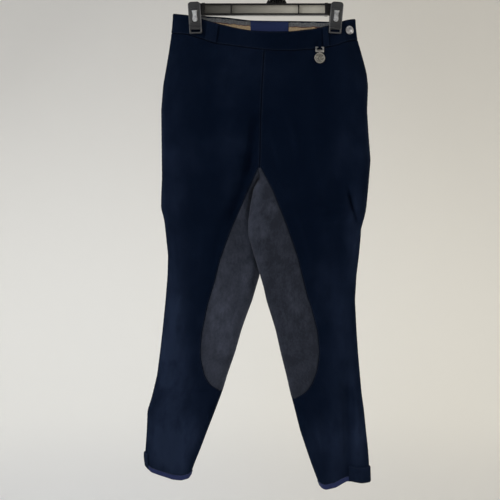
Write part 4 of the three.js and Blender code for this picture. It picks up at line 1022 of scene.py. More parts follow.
def wall(name, outer, inner, finish, uv=None, edge_mm=None, ridge_mm=None):
    """A closed sheet from two grids of points in millimetres."""
    rows, columns = outer.shape[:2]
    count = rows * columns
    points = np.concatenate([outer.reshape(-1, 3), inner.reshape(-1, 3)]) * MM
    index = np.arange(count).reshape(rows, columns)
    a, b, c, d = index[:-1, :-1], index[:-1, 1:], index[1:, 1:], index[1:, :-1]
    faces = [np.stack([a, b, c, d], -1).reshape(-1, 4)]
    faces.append(np.stack([a, d, c, b], -1).reshape(-1, 4) + count)
    rim = np.concatenate([index[0, :-1], index[:-1, -1], index[-1, :0:-1], index[:0:-1, 0]])
    following = np.roll(rim, -1)
    faces.append(np.stack([rim, rim + count, following + count, following], -1))
    faces = np.concatenate(faces)
    corner = points[faces]
    volume = np.einsum("ij,ij->i", corner[:, 0], np.cross(corner[:, 1], corner[:, 2])).sum()
    volume += np.einsum("ij,ij->i", corner[:, 0], np.cross(corner[:, 2], corner[:, 3])).sum()
    if volume < 0:
        faces = faces[:, ::-1]
    mesh = bpy.data.meshes.new(name)
    mesh.from_pydata(points.tolist(), [], faces.tolist())
    shade_smooth(mesh)
    mesh.materials.append(finish)
    if uv is None:
        steps = np.linalg.norm(np.diff(outer, axis=1), axis=2)
        across = np.hstack([np.zeros((rows, 1)), np.cumsum(steps, axis=1)])
        across -= across[:, columns // 2][:, None]
        uv = np.stack([across, outer[:, :, 2]], -1) * MM
    layer = mesh.uv_layers.new(name="cloth")
    corners = np.empty(len(mesh.loops), np.int64)
    mesh.loops.foreach_get("vertex_index", corners)
    layer.data.foreach_set("uv", uv.reshape(-1, 2)[corners % count].astype(np.float32).ravel())
    for key, values, plain in (("edge_mm", edge_mm, FAR_FROM_EDGE), ("ridge_mm", ridge_mm, 0.0)):
        values = np.full(count, plain) if values is None else values.reshape(-1)
        stored = mesh.attributes.new(key, "FLOAT", "POINT")
        stored.data.foreach_set("value", np.concatenate([values, values]).astype(np.float32))
    return new_object(name, mesh)


def declare_cloth(piece, node):
    """Rides on the root body and replaces its solid."""
    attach(piece, "root")
    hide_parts(node)


# %% Panels of the legs
STITCH_LINES = []
# The next share of the big folds' height goes into the ridge value, which paints fold crests paler and
# troughs darker in the cloth's colour.
BIG_FOLD_SHARE_OF_WEAR_AND_SHADE = 0.25
HALF_GAP = TOUCH_GAP / 2
LOWEST_RELIEF = -0.95
SUEDE_LIFT = 0.35
STITCH_SINK = 0.05
NARROWEST_SEWN = 9
FRONT_COLUMNS = 50
BACK_COLUMNS = 38
THIGH_COLUMNS = 26
SEAT_COLUMNS = 30


def panel(name, cloth, face, rows, start, end, middle, finish, slot, stitched, lift=0.0):
    """A panel between two lengths on the chosen rings; stitched names the edge that is topstitched."""
    part = chosen(cloth, rows)
    at = crowded(start[rows], end[rows], middle)
    level = part["level"][:, None]
    from_start, from_end = at - at[:, :1], at[:, -1:] - at
    from_top, from_bottom = level - level[0], level[-1] - level
    bottom_seam = hill(from_bottom, 0, 0.8) * (0 if slot == "stretch_cloth" else -0.5)
    relief = (seam_relief(from_start, level, stitched == "start")
              + seam_relief(from_end, level, stitched == "end")
              + seam_relief(from_top + 0 * at, at, False) + bottom_seam)
    relief = np.maximum(relief, LOWEST_RELIEF)
    outer = moved(part, at, -relief - lift)
    inner = moved(part, at, CLOTH)
    nearest = np.minimum(np.minimum(from_start, from_end), np.minimum(from_top, from_bottom))
    # Fold heights for the cloth's colour: paler crests, partly rubbing and partly painted highlight, and
    # troughs in painted shade.
    ridge = fold_height(cloth["side"], face, outer[:, :, 0], -outer[:, :, 2], BIG_FOLD_SHARE_OF_WEAR_AND_SHADE)
    uv = np.stack([at - part["side_length"][:, None], outer[:, :, 2]], -1) * MM
    made = wall(name + "_cloth", outer, inner, finish, uv=uv, edge_mm=nearest, ridge_mm=ridge)
    declare_cloth(made, name)
    wide = end[rows] - start[rows] > NARROWEST_SEWN
    line = start + STITCH_INSET if stitched == "start" else end - STITCH_INSET
    STITCH_LINES.append(moved(chosen(part, wide), line[rows][wide][:, None], STITCH_SINK - lift)[:, 0, :])


def leg_panels(side_name):
    side, cloth = SIDES[side_name], LEGS[side_name]
    level = cloth["level"]
    everywhere = np.ones(len(level), bool)
    has_patch = (level >= PATCH_TOP) & (level <= side["patch_end"])
    has_seat = (level >= SEAT_TOP) & (level <= side["patch_end"])
    at_patch = length_at_x(cloth, look(side["patch"], "drop", level, "x"), "front")
    patch = np.where(has_patch, np.maximum(at_patch, 1.0), 0.0)
    stretch = side["patch_end"] / SEAT_END
    seat_level = np.where(level > FORK_DROP, FORK_DROP + (level - FORK_DROP) / stretch, level)
    at_seat = length_at_share(cloth, look(SEAT_EDGE, "drop", seat_level, "share"))
    seat = np.where(has_seat, np.minimum(at_seat, cloth["full"] - 1), cloth["full"])
    centre = np.full(len(level), HALF_GAP)
    side_seam, end = cloth["side_length"], cloth["full"] - HALF_GAP
    panel(f"front_{side_name}", cloth, "front", everywhere, patch + HALF_GAP, side_seam - HALF_GAP,
          FRONT_COLUMNS, CLOTH_FINISH, "stretch_cloth", "start")
    panel(f"back_{side_name}", cloth, "back", everywhere, side_seam + HALF_GAP, seat - HALF_GAP,
          BACK_COLUMNS, CLOTH_FINISH, "stretch_cloth", "end")
    panel(f"thigh_patch_{side_name}", cloth, "front", has_patch, centre, patch - HALF_GAP,
          THIGH_COLUMNS, SUEDE_FINISH, "seat_suede", "end", SUEDE_LIFT)
    panel(f"seat_patch_{side_name}", cloth, "back", has_seat, seat + HALF_GAP, end,
          SEAT_COLUMNS, SUEDE_FINISH, "seat_suede", "start", SUEDE_LIFT)


for side_name in SIDES:
    leg_panels(side_name)

# %% [markdown]
# Where two pieces are sewn together, their edges are turned in and pressed open behind the seam, so no
# light comes through it. A narrow wall of the same cloth behind the centre front and the centre back
# does the same here. It shows only as the dark bottom of the seam, and is parted at the fork.

# %% Edges behind the centre seams
ALLOWANCE_WIDTH = 6
ALLOWANCE_COLUMNS = np.array([ALLOWANCE_WIDTH, 4, 2, 1, 0.4])
ALLOWANCE_ROWS = np.arange(FIRST_ROW + 3, FORK_DROP - 1, 4.0)
ALLOWANCE_DEPTH = 1.35
ALLOWANCE_THICK = 0.6


def seam_allowance(face):
    """The turned-in edges behind a centre seam, from the waist to the fork."""
    halves = []
    for side_name in SIDES:
        cloth = rings(side_name, drops=ALLOWANCE_ROWS)
        from_seam = ALLOWANCE_COLUMNS + 0 * cloth["full"][:, None]
        halves.append((cloth, cloth["full"][:, None] - from_seam if face == "back" else from_seam))
    layers = []
    for depth in (ALLOWANCE_DEPTH, ALLOWANCE_DEPTH + ALLOWANCE_THICK):
        right, left = (moved(cloth, at, depth) for cloth, at in halves)
        layers.append(np.hstack([right, left[:, ::-1]]))
    made = wall(f"centre_{face}_allowance_cloth", layers[0], layers[1], CLOTH_FINISH)
    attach(made, "root")


for face in ("front", "back"):
    seam_allowance(face)
print("stitch lines so far:", len(STITCH_LINES))

# %% [markdown]
# ## Waistband, ribbon, label and belt loops
#
# The band is a doubled strip, rolled over at its top edge. Its front hangs lower between the clips than
# its back, so the ribbon that faces the back band shows, with a plain label in its middle. The loops are
# narrow straps tacked at both ends, and stand off the band between the tacks.

# %% Strips round the waist
BAND_HEIGHT = 38
BAND_ROWS = np.array([0, 0.012, 0.028, 0.045, 0.06, 0.078, 0.11, 0.2, 0.3, 0.4, 0.5, 0.6, 0.7, 0.8, 0.89,
                      0.922, 0.94, 0.955, 0.972, 0.988, 1])
RIBBON_DEPTH = BAND + SEAM_GAP
RIBBON_ROWS = np.linspace(0.075, 0.98, 14)
RIBBON_TRIM = 14
RIBBON_RUN = 0.36
HALF_WAIST_COLUMNS = 72


def waist_strip(name, face, bands, trim, outer_depth, thickness, finish, is_ribbon):
    """A strip round the front or the back of the waist; a ribbon's top edge wanders a little."""
    halves = []
    for side_name in SIDES:
        cloth = rings(side_name, bands=bands)
        if face == "front":
            start, end = np.full(len(bands), HALF_GAP), cloth["side_length"] - HALF_GAP - trim
        else:
            start, end = cloth["side_length"] + HALF_GAP + trim, cloth["full"]
        at = mix(start[:, None], end[:, None], np.linspace(0, 1, HALF_WAIST_COLUMNS))
        flip = (side_name == "right") == (face == "front")
        halves.append((cloth, at[:, ::-1] if flip else at))
    along = np.hstack([at for _, at in halves])
    from_edge = np.minimum(bands, 1 - bands)[:, None] * BAND_HEIGHT + 0 * along
    relief = 0 * from_edge if is_ribbon else seam_relief(from_edge, along, True)
    parts = np.split(relief, 2, axis=1)
    outer = np.hstack([moved(cloth, at, outer_depth - part) for (cloth, at), part in zip(halves, parts)])
    inner = np.hstack([moved(cloth, at, outer_depth + thickness) for cloth, at in halves])
    uv = None
    if is_ribbon:
        wander = 0.5 * np.sin(outer[0, :, 0] / 5.1) + 0.45 * np.sin(outer[0, :, 0] / 2.3 + 1)
        for grid in (outer, inner):
            grid[:, :, 2] += wander * (1 - bands[:, None])
        run = np.linspace(0, RIBBON_RUN, outer.shape[1])
        down = (bands - bands[0]) / (bands[-1] - bands[0])
        uv = np.stack(np.meshgrid(run, down), -1)
    made = wall(name + "_cloth", outer, inner, finish, uv=uv, edge_mm=from_edge)
    declare_cloth(made, name)
    if not is_ribbon:
        for band in (STITCH_INSET / BAND_HEIGHT, 1 - STITCH_INSET / BAND_HEIGHT):
            row = int(np.argmin(abs(bands - band)))
            one = slice(row, row + 1)
            line = [moved(chosen(cloth, one), at[one], outer_depth + STITCH_SINK)[0] for cloth, at in halves]
            STITCH_LINES.append(np.concatenate(line))


for face in ("front", "back"):
    waist_strip(f"waistband_{face}", face, BAND_ROWS, 0, 0, BAND, CLOTH_FINISH, False)
waist_strip("waist_ribbon", "back", RIBBON_ROWS, RIBBON_TRIM, RIBBON_DEPTH, RIBBON, RIBBON_FINISH,
            True)

# %% Label and loops
LABEL_START_X = -52
LABEL_END_X = 24.6
LABEL_ROWS = np.linspace(0.035, 0.86, 12)


def waist_label():
    right, left = (rings(side_name, bands=LABEL_ROWS) for side_name in SIDES)
    depth = RIBBON_DEPTH + RIBBON + SEAM_GAP
    grids = []
    for layer_depth in (depth, depth + LABEL):
        start = length_at_x(right, LABEL_START_X, "back")[:, None]
        end = length_at_x(left, LABEL_END_X, "back")[:, None]
        right_at = mix(start, right["full"][:, None], np.linspace(0, 1, 14))
        left_at = mix(left["full"][:, None], end, np.linspace(0, 1, 22))
        grids.append(np.hstack([moved(right, right_at, layer_depth), moved(left, left_at, layer_depth)]))
    made = wall("waist_label_cloth", grids[0], grids[1], LABEL_FINISH)
    declare_cloth(made, "waist_label")
    for row in (1, 10):
        STITCH_LINES.append(grids[1][row, 2:33] - np.array([0, STITCH_SINK, 0]))


LOOPS = [
    # name, side, face, x of both edges at the top, slant of the loop over the band's height
    ("belt_loop_front_right", "right", "front", -137, -114.5, -6.5),
    ("belt_loop_front_left", "left", "front", 91.5, 103, 2),
    ("belt_loop_back_right", "right", "back", -139, -124, 1),
    ("belt_loop_back_left", "left", "back", 74, 89, -1.5),
]
LOOP_STAND = table("band stand", [(0.03, 0), (0.2, 1.2), (0.5, 1.7), (0.8, 1.2), (0.97, 0)])
LOOP_CLEAR = 0.6
LOOP = 1.2
# The next value paints the whole loop paler in the cloth's colour, partly rubbing and partly a painted
# highlight.
LOOP_RUB_AND_HIGHLIGHT = 1.1
LOOP_ROWS = np.array([0.03, 0.045, 0.07, 0.11, 0.2, 0.3, 0.4, 0.5, 0.6, 0.7, 0.8, 0.89, 0.93, 0.955, 0.97])
LOOP_COLUMNS = np.array([0, 0.04, 0.1, 0.2, 0.35, 0.5, 0.65, 0.8, 0.9, 0.96, 1])
CENTRE_LOOP_ROWS = np.array([0.03, 0.045, 0.07, 0.11, 0.2, 0.35, 0.5, 0.65, 0.8, 0.89, 0.93, 0.955, 0.97])
CENTRE_LOOP_OFFSETS = np.array([7, 6.5, 5.6, 4, 2, 0.2])


def loop_stand(bands):
    """How far a loop stands off the band, between the tacks at its ends."""
    return LOOP_CLEAR + np.interp(bands, LOOP_STAND["band"], LOOP_STAND["stand"])[:, None]


def belt_loop(name, side_name, face, x1, x2, slant):
    cloth = rings(side_name, bands=LOOP_ROWS)
    stand = loop_stand(LOOP_ROWS)
    shift = slant * LOOP_ROWS
    first, last = (length_at_x(cloth, x + shift, face)[:, None] for x in (x1, x2))
    at = mix(first, last, LOOP_COLUMNS)
    from_side = np.minimum(LOOP_COLUMNS, 1 - LOOP_COLUMNS)
    rounded = 0.42 * hill(from_side, 0, 0.06)
    ridge = 0.18 * hill(from_side, 0.16, 0.05)
    outer = moved(cloth, at, -(stand + LOOP - rounded + ridge))
    inner = moved(cloth, at, -(stand + rounded))
    from_edge = from_side * 12 + 1.4 + 0 * stand
    # Paler all over: partly rubbing, partly a painted highlight.
    rub_and_highlight = np.full(outer.shape[:2], LOOP_RUB_AND_HIGHLIGHT)
    made = wall(name + "_cloth", outer, inner, CLOTH_FINISH, edge_mm=from_edge, ridge_mm=rub_and_highlight)
    declare_cloth(made, name)
    for row in (2, 12):
        STITCH_LINES.append(outer[row, 1:-1])


def centre_loop():
    stand = loop_stand(CENTRE_LOOP_ROWS)
    right, left = (rings(side_name, bands=CENTRE_LOOP_ROWS) for side_name in SIDES)
    right_at = right["full"][:, None] - CENTRE_LOOP_OFFSETS
    left_at = left["full"][:, None] - CENTRE_LOOP_OFFSETS[::-1]
    grids = []
    for extra in (LOOP, 0):
        round_off = 0.4 * hill(CENTRE_LOOP_OFFSETS[0] - CENTRE_LOOP_OFFSETS, 0, 0.8) * (1 if extra else -1)
        grids.append(np.hstack([moved(right, right_at, -(stand + extra - round_off)),
                                moved(left, left_at, -(stand + extra - round_off[::-1]))]))
    made = wall("belt_loop_back_centre_cloth", grids[0], grids[1], CLOTH_FINISH)
    declare_cloth(made, "belt_loop_back_centre")


waist_label()
for row in LOOPS:
    belt_loop(*row)
centre_loop()

# %% [markdown]
# ## Ankles
#
# A soft ribbed tape binds each hem, and a tab of the leg's cloth closes over it at the side with hook
# and loop. The tape is a thin rounded wall that follows the hem's slant. The tab has a line of stitching
# all round, and its lower edge hangs a little past the tape.

# %% Hem tape and tabs
TAPE_HEIGHT = 9
BINDING = 0.8
TAB = 1.6
TAPE_RISES = np.array([TAPE_HEIGHT, 8.6, 7.8, 6.6, 5, 3.4, 2, 1, 0.4, 0])
TAB_LOWER_RISES = [26, 22, 18, 14, 10, 6, 4, 2.6, 1.6, 0.6, 0]


def hem_tape(side_name):
    cloth = rings(side_name, drops=SIDES[side_name]["hem_row"] - TAPE_RISES)
    starts = np.full((len(TAPE_RISES), 1), HALF_GAP)
    at = mix(starts, cloth["full"][:, None] - HALF_GAP, np.linspace(0, 1, 150))
    round_off = 0.35 * hill(np.minimum(TAPE_RISES, TAPE_HEIGHT - TAPE_RISES), 0, 0.7)[:, None]
    ripple = 0.10 * np.sin(at * 0.9 + 1.2 * np.sin(at * 0.13))
    outer = moved(cloth, at, -(SEAM_GAP + BINDING + 0.3 - round_off + ripple))
    inner = moved(cloth, at, -SEAM_GAP)
    made = wall(f"hem_binding_{side_name}_cloth", outer, inner, TAPE_FINISH)
    declare_cloth(made, f"hem_binding_{side_name}")


def ankle_tab(side_name):
    side = SIDES[side_name]
    rises = np.concatenate([side["tab_rise"] - np.array([0, 0.6, 1.6, 2.6, 4]), TAB_LOWER_RISES])
    cloth = rings(side_name, drops=side["hem_row"] - rises)
    at = crowded(cloth["side_length"] - side["tab_front"], cloth["side_length"] + side["tab_back"], 24)
    from_edge = np.minimum(np.minimum(at - at[:, :1], at[:, -1:] - at),
                           np.minimum(rises, side["tab_rise"] - rises)[:, None])
    relief = 0.5 * seam_relief(from_edge, at, True)
    depth = SEAM_GAP * 2 + BINDING
    thick = TAB * (0.45 + 0.55 * smooth(from_edge / 3.5))
    outer = moved(cloth, at, -(depth + thick + relief))
    inner = moved(cloth, at, -depth)
    made = wall(f"ankle_tab_{side_name}_cloth", outer, inner, CLOTH_FINISH, edge_mm=from_edge + 1.2)
    declare_cloth(made, f"ankle_tab_{side_name}")
    outwards = outer - moved(cloth, at, 0)
    sewn = outer - 0.06 * outwards / np.linalg.norm(outwards, axis=2)[:, :, None]
    STITCH_LINES.append(np.concatenate([sewn[3, 4:-4], sewn[3:-3, -5], sewn[-4, -5:3:-1], sewn[-4:3:-1, 4]]))


for side_name in SIDES:
    hem_tape(side_name)
    ankle_tab(side_name)

# %% [markdown]
# ## Stitches
#
# Topstitching is a row of short threads that dive in and out of the cloth. A small Geometry Nodes tree
# puts one bead of thread at every step of each line. Its pitch, stitch length and thread thickness are
# named inputs, so the same tree sews every seam, and makes the coils of the zip from fatter beads.

# %% A tree that sews along lines
def sewing_tree():
    """Beads of thread along lines; returns the tree and the identifiers of its inputs."""
    tree = bpy.data.node_groups.new("sew_along_lines", "GeometryNodeTree")
    wanted = (("Lines", "Geometry", None), ("Pitch", "Float", 0.0034), ("Bead length", "Float", 0.0026),
              ("Bead radius", "Float", 0.00026), ("Finish", "Material", None))
    inputs = {}
    for name, kind, value in wanted:
        socket = tree.interface.new_socket(name, in_out="INPUT", socket_type="NodeSocket" + kind)
        if value is not None:
            socket.default_value = value
        inputs[name] = socket.identifier
    tree.interface.new_socket("Sewn", in_out="OUTPUT", socket_type="NodeSocketGeometry")
    sizes = tree.nodes.new("NodeGroupInput").outputs
    points = add_node(tree, "GeometryNodeCurveToPoints", {"mode": "LENGTH"}, Curve=sizes["Lines"],
                      Length=sizes["Pitch"])
    bead = add_node(tree, "GeometryNodeMeshUVSphere", None, Segments=6, Rings=4, Radius=1.0)
    radius, half_length = sizes["Bead radius"], times(tree, sizes["Bead length"], 0.5)
    scale = add_node(tree, "ShaderNodeCombineXYZ", None, X=radius, Y=radius, Z=half_length)
    beads = add_node(tree, "GeometryNodeInstanceOnPoints", None, Points=points.outputs["Points"],
                     Rotation=points.outputs["Rotation"], Instance=bead.outputs["Mesh"],
                     Scale=scale.outputs[0])
    realized = add_node(tree, "GeometryNodeRealizeInstances", None, Geometry=beads.outputs[0])
    shaded = add_node(tree, "GeometryNodeSetShadeSmooth", None, Geometry=realized.outputs[0])
    coloured = add_node(tree, "GeometryNodeSetMaterial", None, Geometry=shaded.outputs[0],
                        Material=sizes["Finish"])
    tree.links.new(coloured.outputs[0], tree.nodes.new("NodeGroupOutput").inputs[0])
    return tree, inputs


SEWING, SEWING_INPUTS = sewing_tree()


def sew(name, lines, pitch, bead_length, bead_radius, finish):
    """Beads along lines of points in millimetres, as a plain mesh."""
    curve = bpy.data.curves.new(name + "_lines", "CURVE")
    curve.dimensions = "3D"
    for line in lines:
        spline = curve.splines.new("POLY")
        spline.points.add(len(line) - 1)
        weighted = np.hstack([line * MM, np.ones((len(line), 1))])
        spline.points.foreach_set("co", weighted.astype(np.float32).ravel())
    carrier = new_object(name + "_lines", curve)
    modifier = carrier.modifiers.new("sew", "NODES")
    modifier.node_group = SEWING
    for key, value in (("Pitch", pitch), ("Bead length", bead_length), ("Bead radius", bead_radius),
                       ("Finish", finish)):
        modifier[SEWING_INPUTS[key]] = value
    graph = bpy.context.evaluated_depsgraph_get()
    mesh = bpy.data.meshes.new_from_object(carrier.evaluated_get(graph), depsgraph=graph)
    bpy.data.objects.remove(carrier)
    mesh.name = name
    mesh.materials.clear()
    mesh.materials.append(finish)
    made = new_object(name, mesh)
    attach(made, "root")
    print(f"{name}: {len(lines)} lines, {len(mesh.polygons)} faces")


# %% Hems
HEM_STITCH_RISE = TAPE_HEIGHT + 1.6
HEM_STITCH_SINK = 0.02
THREAD_PITCH = 0.0034
THREAD_LENGTH = 0.0026
THREAD_RADIUS = 0.00027
for side_name in SIDES:
    cloth = rings(side_name, drops=[SIDES[side_name]["hem_row"] - HEM_STITCH_RISE])
    at = np.linspace(1, cloth["full"][0] - 1, 160)[None, :]
    STITCH_LINES.append(moved(cloth, at, HEM_STITCH_SINK)[0])
sew("topstitching", STITCH_LINES, THREAD_PITCH, THREAD_LENGTH, THREAD_RADIUS, THREAD_FINISH)

# %% [markdown]
# ## Side zip
#
# A coil zip closes the wearer's left side from the waistband to the hip, just behind the side seam. Its
# tape is one narrow wall with a raised middle, and the sewing tree lays the coil's two rows of beads
# along it. The slider and its pull keep their solids' form, and stay near the top, where they sit when
# the zip is closed.

# %% Zip tape and coil
ZIP_END = 330
ZIP_WIDTH = 5
ZIP_THICK = 1
ZIP_BACK = 7
ZIP_CLEAR = 0.5
ZIP_ACROSS = np.array([-1, -0.9, -0.7, -0.4, -0.15, 0, 0.15, 0.4, 0.7, 0.9, 1])
COIL_HALF_WIDTH = 0.55
COIL_PITCH = 0.0013
COIL_LENGTH = 0.00095
COIL_RADIUS = 0.00055


def side_zip():
    """The zip's tape; returns the two lines that its coil follows."""
    part = chosen(LEGS["left"], LEGS["left"]["level"] <= ZIP_END)
    middle = part["side_length"][:, None] + ZIP_BACK
    at = middle + ZIP_ACROSS * ZIP_WIDTH / 2
    crown = (ZIP_THICK * (0.45 + 0.25 * hill(np.abs(ZIP_ACROSS), 0.6, 0.25)))[None, :]
    outer = moved(part, at, -(ZIP_CLEAR + crown))
    inner = moved(part, at, -ZIP_CLEAR)
    made = wall("zip_chain_cloth", outer, inner, CLOTH_FINISH)
    declare_cloth(made, "zip_chain")
    coil_depth = -(ZIP_CLEAR + ZIP_THICK * 0.75)
    offsets = (-COIL_HALF_WIDTH, COIL_HALF_WIDTH)
    return [moved(part, middle + offset, coil_depth)[:, 0, :] for offset in offsets]


sew("zip_coil", side_zip(), COIL_PITCH, COIL_LENGTH, COIL_RADIUS, THREAD_FINISH)

# %% [markdown]
# ## Hard parts
#
# The solids of the hanger, clips, button, charm and zip already have the right shape, but with knife
# edges. Each is copied, its loose triangles are merged and flat faces joined, and a Bevel modifier
# rounds the edges by a few tenths of a millimetre, which is what catches the light on the real ones. The
# clips are also made a little shorter from their feet up, and the charm's ring of tape narrower.

# %% Copies with soft edges
MERGE_DISTANCE = 0.00001
FLAT_ANGLE = math.radians(1.5)
BEVEL_ANGLE = math.radians(35)
SHARP_ANGLE = math.radians(38)


def softened(node, body, finish, width):
    """A copy of a solid with its sharp edges rounded by a width in millimetres."""
    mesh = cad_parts[node].data.copy()
    work = bmesh.new()
    work.from_mesh(mesh)
    bmesh.ops.remove_doubles(work, verts=work.verts, dist=MERGE_DISTANCE)
    bmesh.ops.dissolve_limit(work, angle_limit=FLAT_ANGLE, verts=work.verts, edges=work.edges)
    work.to_mesh(mesh)
    work.free()
    mesh.materials.clear()
    mesh.materials.append(finish)
    made = new_object(node + "_soft_edges", mesh)
    bevel = made.modifiers.new("soft edges", "BEVEL")
    bevel.width = width * MM
    bevel.segments = 3
    bevel.limit_method = "ANGLE"
    bevel.angle_limit = BEVEL_ANGLE
    graph = bpy.context.evaluated_depsgraph_get()
    made.data = bpy.data.meshes.new_from_object(made.evaluated_get(graph), depsgraph=graph)
    made.modifiers.clear()
    shade_smooth(made.data)
    made.data.set_sharp_from_angle(angle=SHARP_ANGLE)
    stored = made.data.attributes.new("edge_mm", "FLOAT", "POINT")
    stored.data.foreach_set("value", np.full(len(made.data.vertices), FAR_FROM_EDGE, np.float32))
    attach(made, body)
    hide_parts(node)
    print(f"{made.name}: {len(made.data.polygons)} faces")
    return made


HARD_PARTS = [
    # node, body, slot, finish, edge radius in millimetres
    ("hanger_bar", "root", "hanger_plastic", BAR_FINISH, 0.45),
    ("clip_right_jaw_front", "root", "clip_plastic", CLIP_FINISH, 0.35),
    ("clip_right_jaw_back", "root", "clip_plastic", CLIP_FINISH, 0.35),
    ("clip_left_jaw_front", "root", "clip_plastic", CLIP_FINISH, 0.35),
    ("clip_left_jaw_back", "root", "clip_plastic", CLIP_FINISH, 0.35),
    ("hanger_hook", "root", "bright_steel", STEEL_FINISH, 0.05),
    ("waist_button", "root", "bright_steel", BUTTON_FINISH, 0.2),
    ("charm_link", "link", "pewter", PEWTER_FINISH, 0.22),
    ("charm_disc", "disc", "pewter", DISC_FINISH, 0.15),
    ("zip_slider", "root", "pewter", PEWTER_FINISH, 0.2),
    ("zip_pull", "pull", "pewter", PEWTER_FINISH, 0.2),
    ("charm_tape", "root", "stretch_cloth", CLOTH_FINISH, 0.15),
]
CLIP_FOOT = -152.5
CLIP_SHARE = 0.945
RING_SHARE = 0.62


def scaled_about(mesh, centre, scale):
    there = Matrix.Translation(centre)
    mesh.transform(there @ Matrix.Diagonal((*scale, 1)) @ there.inverted())


for node, body, slot_name, finish, radius in HARD_PARTS:
    made = softened(node, body, finish, radius)
    if node.startswith("clip_"):
        scaled_about(made.data, (0, 0, CLIP_FOOT * MM), (1, 1, CLIP_SHARE))
    elif node == "charm_tape":
        scaled_about(made.data, (DISC_CENTRE[0], 0, 0), (RING_SHARE, 1, 1))

# %% [markdown]
# ## Springs and rims of the clips
#
# Each spring is a narrow tongue of bright steel, waisted in its middle and round at its foot, with a
# shallow groove down it. A thin near-black sheet on the jaw round it is a painted shadow, and a raised
# bead, coloured paler as a painted highlight, runs round the jaw's edge. A lip covers the top of each
# spring, and a block joins each clip to the bar. The parts of a clip are built upright at the origin,
# and then leaned and moved to the clip's place.

# %% Springs, pockets and rims
CLIPS = [("right", -164.4, -2.9), ("left", 120.8, 4.1)]
CLIP_TOP = 89.5
JAW_FACE = table("down y", [(0, 15.9), (22, 12.4), (44, 7.3), (65, 7.3)])
SPRING_LIFT = 1.1
SPRING = 0.8
SPRING_TOP = 15.3
TONGUE = table("down half_width", [
    (SPRING_TOP, 5.4), (16.5, 5.4), (19, 5.2), (22, 4.6), (25, 4.1), (28, 4.0), (31, 4.3), (34, 4.8),
    (36.5, 4.9), (38.2, 4.4), (39.4, 3.5), (40.1, 2.4), (40.4, 1.2)])
RIM_PATH = table("x down", [
    (-11.5, 6), (-11.5, 22), (-11.5, 44), (-11.5, 60), (-10.9, 62.3), (-9.4, 63.6), (0, 63.6),
    (9.4, 63.6), (10.9, 62.3), (11.5, 60), (11.5, 44), (11.5, 22), (11.5, 6)])
COLLARS = [("right", -153, -147), ("left", 101, 109)]
COLLAR_DEPTH = 9
COLLAR_HEIGHT = 22
COLLAR_EDGE = 0.8
COLLAR_MIDDLE_Z = -106
RIM_ACROSS = np.array([-1.0, -0.7, 0, 0.7, 1.0])
RIM_RISE = np.array([0, 0.5, 0.7, 0.5, 0])


def placed(points, clip_x, lean):
    """Leans points of a clip about its top and moves them to its place on the bar."""
    angle = math.radians(lean)
    x, y, z = points[..., 0], points[..., 1], points[..., 2]
    turned_x = x * math.cos(angle) + z * math.sin(angle)
    turned_z = -x * math.sin(angle) + z * math.cos(angle)
    shortened = CLIP_FOOT + (turned_z - CLIP_TOP - CLIP_FOOT) * CLIP_SHARE
    return np.stack([turned_x + clip_x, y, shortened], -1)


def jaw_face(down):
    return np.interp(down, JAW_FACE["down"], JAW_FACE["y"])


def clip_piece(name, outer, inner, finish, slot, clip_x, lean, node=None):
    made = wall(name, placed(outer, clip_x, lean), placed(inner, clip_x, lean), finish)
    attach(made, "root")
    if node:
        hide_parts(node)


def spring(side_name, clip_x, lean):
    """A waisted tongue, grooved down its middle, that passes over the clip from front to back."""
    down = TONGUE["down"][::-1]
    half = TONGUE["half_width"][::-1]
    leg_y = jaw_face(down) + SPRING_LIFT
    over_y = np.array([-0.93, -0.5, 0, 0.5, 0.93]) * leg_y[-1]
    y = np.concatenate([-leg_y, over_y, leg_y[::-1]])
    z = np.concatenate([-down, np.full(len(over_y), -SPRING_TOP + 0.25), -down[::-1]])
    width = np.concatenate([half, np.full(len(over_y), half[-1]), half[::-1]])
    tangent_y, tangent_z = np.gradient(y), np.gradient(z)
    size = np.hypot(tangent_y, tangent_z)
    inward_y, inward_z = tangent_z / size, -tangent_y / size
    across = np.linspace(-1, 1, 13)
    groove = 0.40 * np.exp(-(across / 0.22) ** 2) + 0.30 * across ** 6
    layers = []
    for depth in (groove, SPRING + 0 * groove):
        grid_y = y[:, None] + inward_y[:, None] * depth
        grid_z = z[:, None] + inward_z[:, None] * depth
        layers.append(np.stack([width[:, None] * across, grid_y, grid_z], -1))
    clip_piece(f"clip_{side_name}_spring_tongue", *layers, STEEL_FINISH, "bright_steel", clip_x, lean,
               f"clip_{side_name}_spring")


def lip(side_name, clip_x, lean, way, face):
    """A rounded lip of the jaw over the top of its spring."""
    down = np.array([12.2, 12.6, 13.6, 15.2, 16.8, 17.7, 18.0])
    rise = np.array([0, 1.1, 1.7, 1.9, 1.7, 1.2, 0])
    across = np.array([-7.6, -7.3, -6.6, -3, 0, 3, 6.6, 7.3, 7.6])
    ends = np.array([0, 0.6, 0.95, 1, 1, 1, 0.95, 0.6, 0])
    layers = []
    for height in (rise[:, None] * ends, 0 * rise[:, None] * ends - 0.2):
        y = way * (jaw_face(down)[:, None] + height)
        layers.append(np.stack([across + 0 * y, y, -down[:, None] + 0 * y], -1))
    clip_piece(f"clip_{side_name}_{face}_lip", *layers, CLIP_FINISH, "clip_plastic", clip_x, lean)


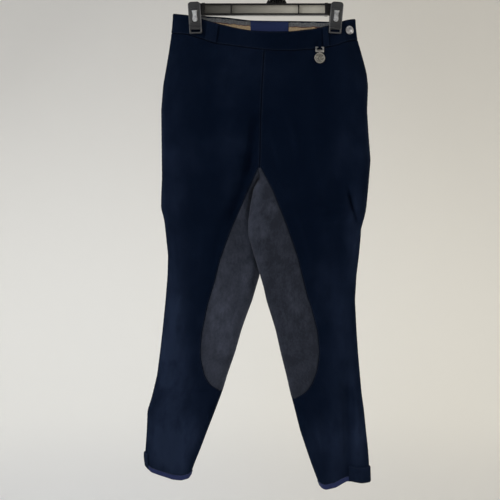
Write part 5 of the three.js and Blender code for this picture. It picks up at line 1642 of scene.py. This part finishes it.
def collar(side_name, start_x, end_x):
    """The block that joins a clip to the end of the bar."""
    work = bmesh.new()
    bmesh.ops.create_cube(work, size=1.0)
    mesh = bpy.data.meshes.new(f"collar_{side_name}")
    for vert in work.verts:
        vert.co.x = (start_x + end_x) / 2 * MM + vert.co.x * (end_x - start_x) * MM
        vert.co.y *= COLLAR_DEPTH * MM
        vert.co.z = COLLAR_MIDDLE_Z * MM + vert.co.z * COLLAR_HEIGHT * MM
    bmesh.ops.bevel(work, geom=work.edges, offset=COLLAR_EDGE * MM, segments=2, affect="EDGES")
    work.to_mesh(mesh)
    work.free()
    shade_smooth(mesh)
    mesh.set_sharp_from_angle(angle=SHARP_ANGLE)
    mesh.materials.append(BAR_FINISH)
    made = new_object(f"collar_{side_name}", mesh)
    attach(made, "root")


def spring_shadow_and_rim(side_name, clip_x, lean, way, face):
    """A thin near-black sheet of painted shadow round the spring, and the bead round the jaw's edge,
    coloured paler as a painted highlight.
    """
    down = np.concatenate([[14.0, 14.6], TONGUE["down"][1:] + 1.0, [42.0]])
    half = np.concatenate([[5.2, 6.6], TONGUE["half_width"][1:] + 1.3, [1.0]])
    across = np.linspace(-1, 1, 7)
    layers = []
    for lift in (0.14, -0.2):
        x = half[:, None] * across
        y = way * (jaw_face(down) + lift)
        layers.append(np.stack([x, y[:, None] + 0 * x, -down[:, None] + 0 * x], -1))
    clip_piece(f"clip_{side_name}_{face}_painted_shadow", *layers, SPRING_SHADOW_FINISH, "clip_plastic", clip_x, lean)

    x, down = RIM_PATH["x"], RIM_PATH["down"]
    side_x, side_down = -np.gradient(down), np.gradient(x)
    size = np.hypot(side_x, side_down)
    layers = []
    for rise in (RIM_RISE, RIM_RISE * 0 - 0.15):
        grid_x = x[:, None] + side_x[:, None] / size[:, None] * RIM_ACROSS
        grid_down = down[:, None] + side_down[:, None] / size[:, None] * RIM_ACROSS
        layers.append(np.stack([grid_x, way * (jaw_face(grid_down) + rise), -grid_down], -1))
    clip_piece(f"clip_{side_name}_{face}_rim", *layers, RIM_HIGHLIGHT_FINISH, "clip_plastic", clip_x, lean)


# Painted shadow: a near-black sheet on the jaw round each spring.
SPRING_SHADOW_FINISH = moulded("painted_spring_shadow_plastic", (0.0012, 0.0012, 0.0014), 0.6, 0.05)
# Painted highlight: the bead round each jaw's edge is paler than the jaw.
RIM_HIGHLIGHT_FINISH = moulded("painted_highlight_plastic_edge", (0.038, 0.039, 0.043), 0.40, 0.20)
for side_name, clip_x, lean in CLIPS:
    spring(side_name, clip_x, lean)
    for way, face in ((-1, "front"), (1, "back")):
        spring_shadow_and_rim(side_name, clip_x, lean, way, face)
        lip(side_name, clip_x, lean, way, face)
for side_name, start_x, end_x in COLLARS:
    collar(side_name, start_x, end_x)
print("clips dressed:", len(CLIPS))
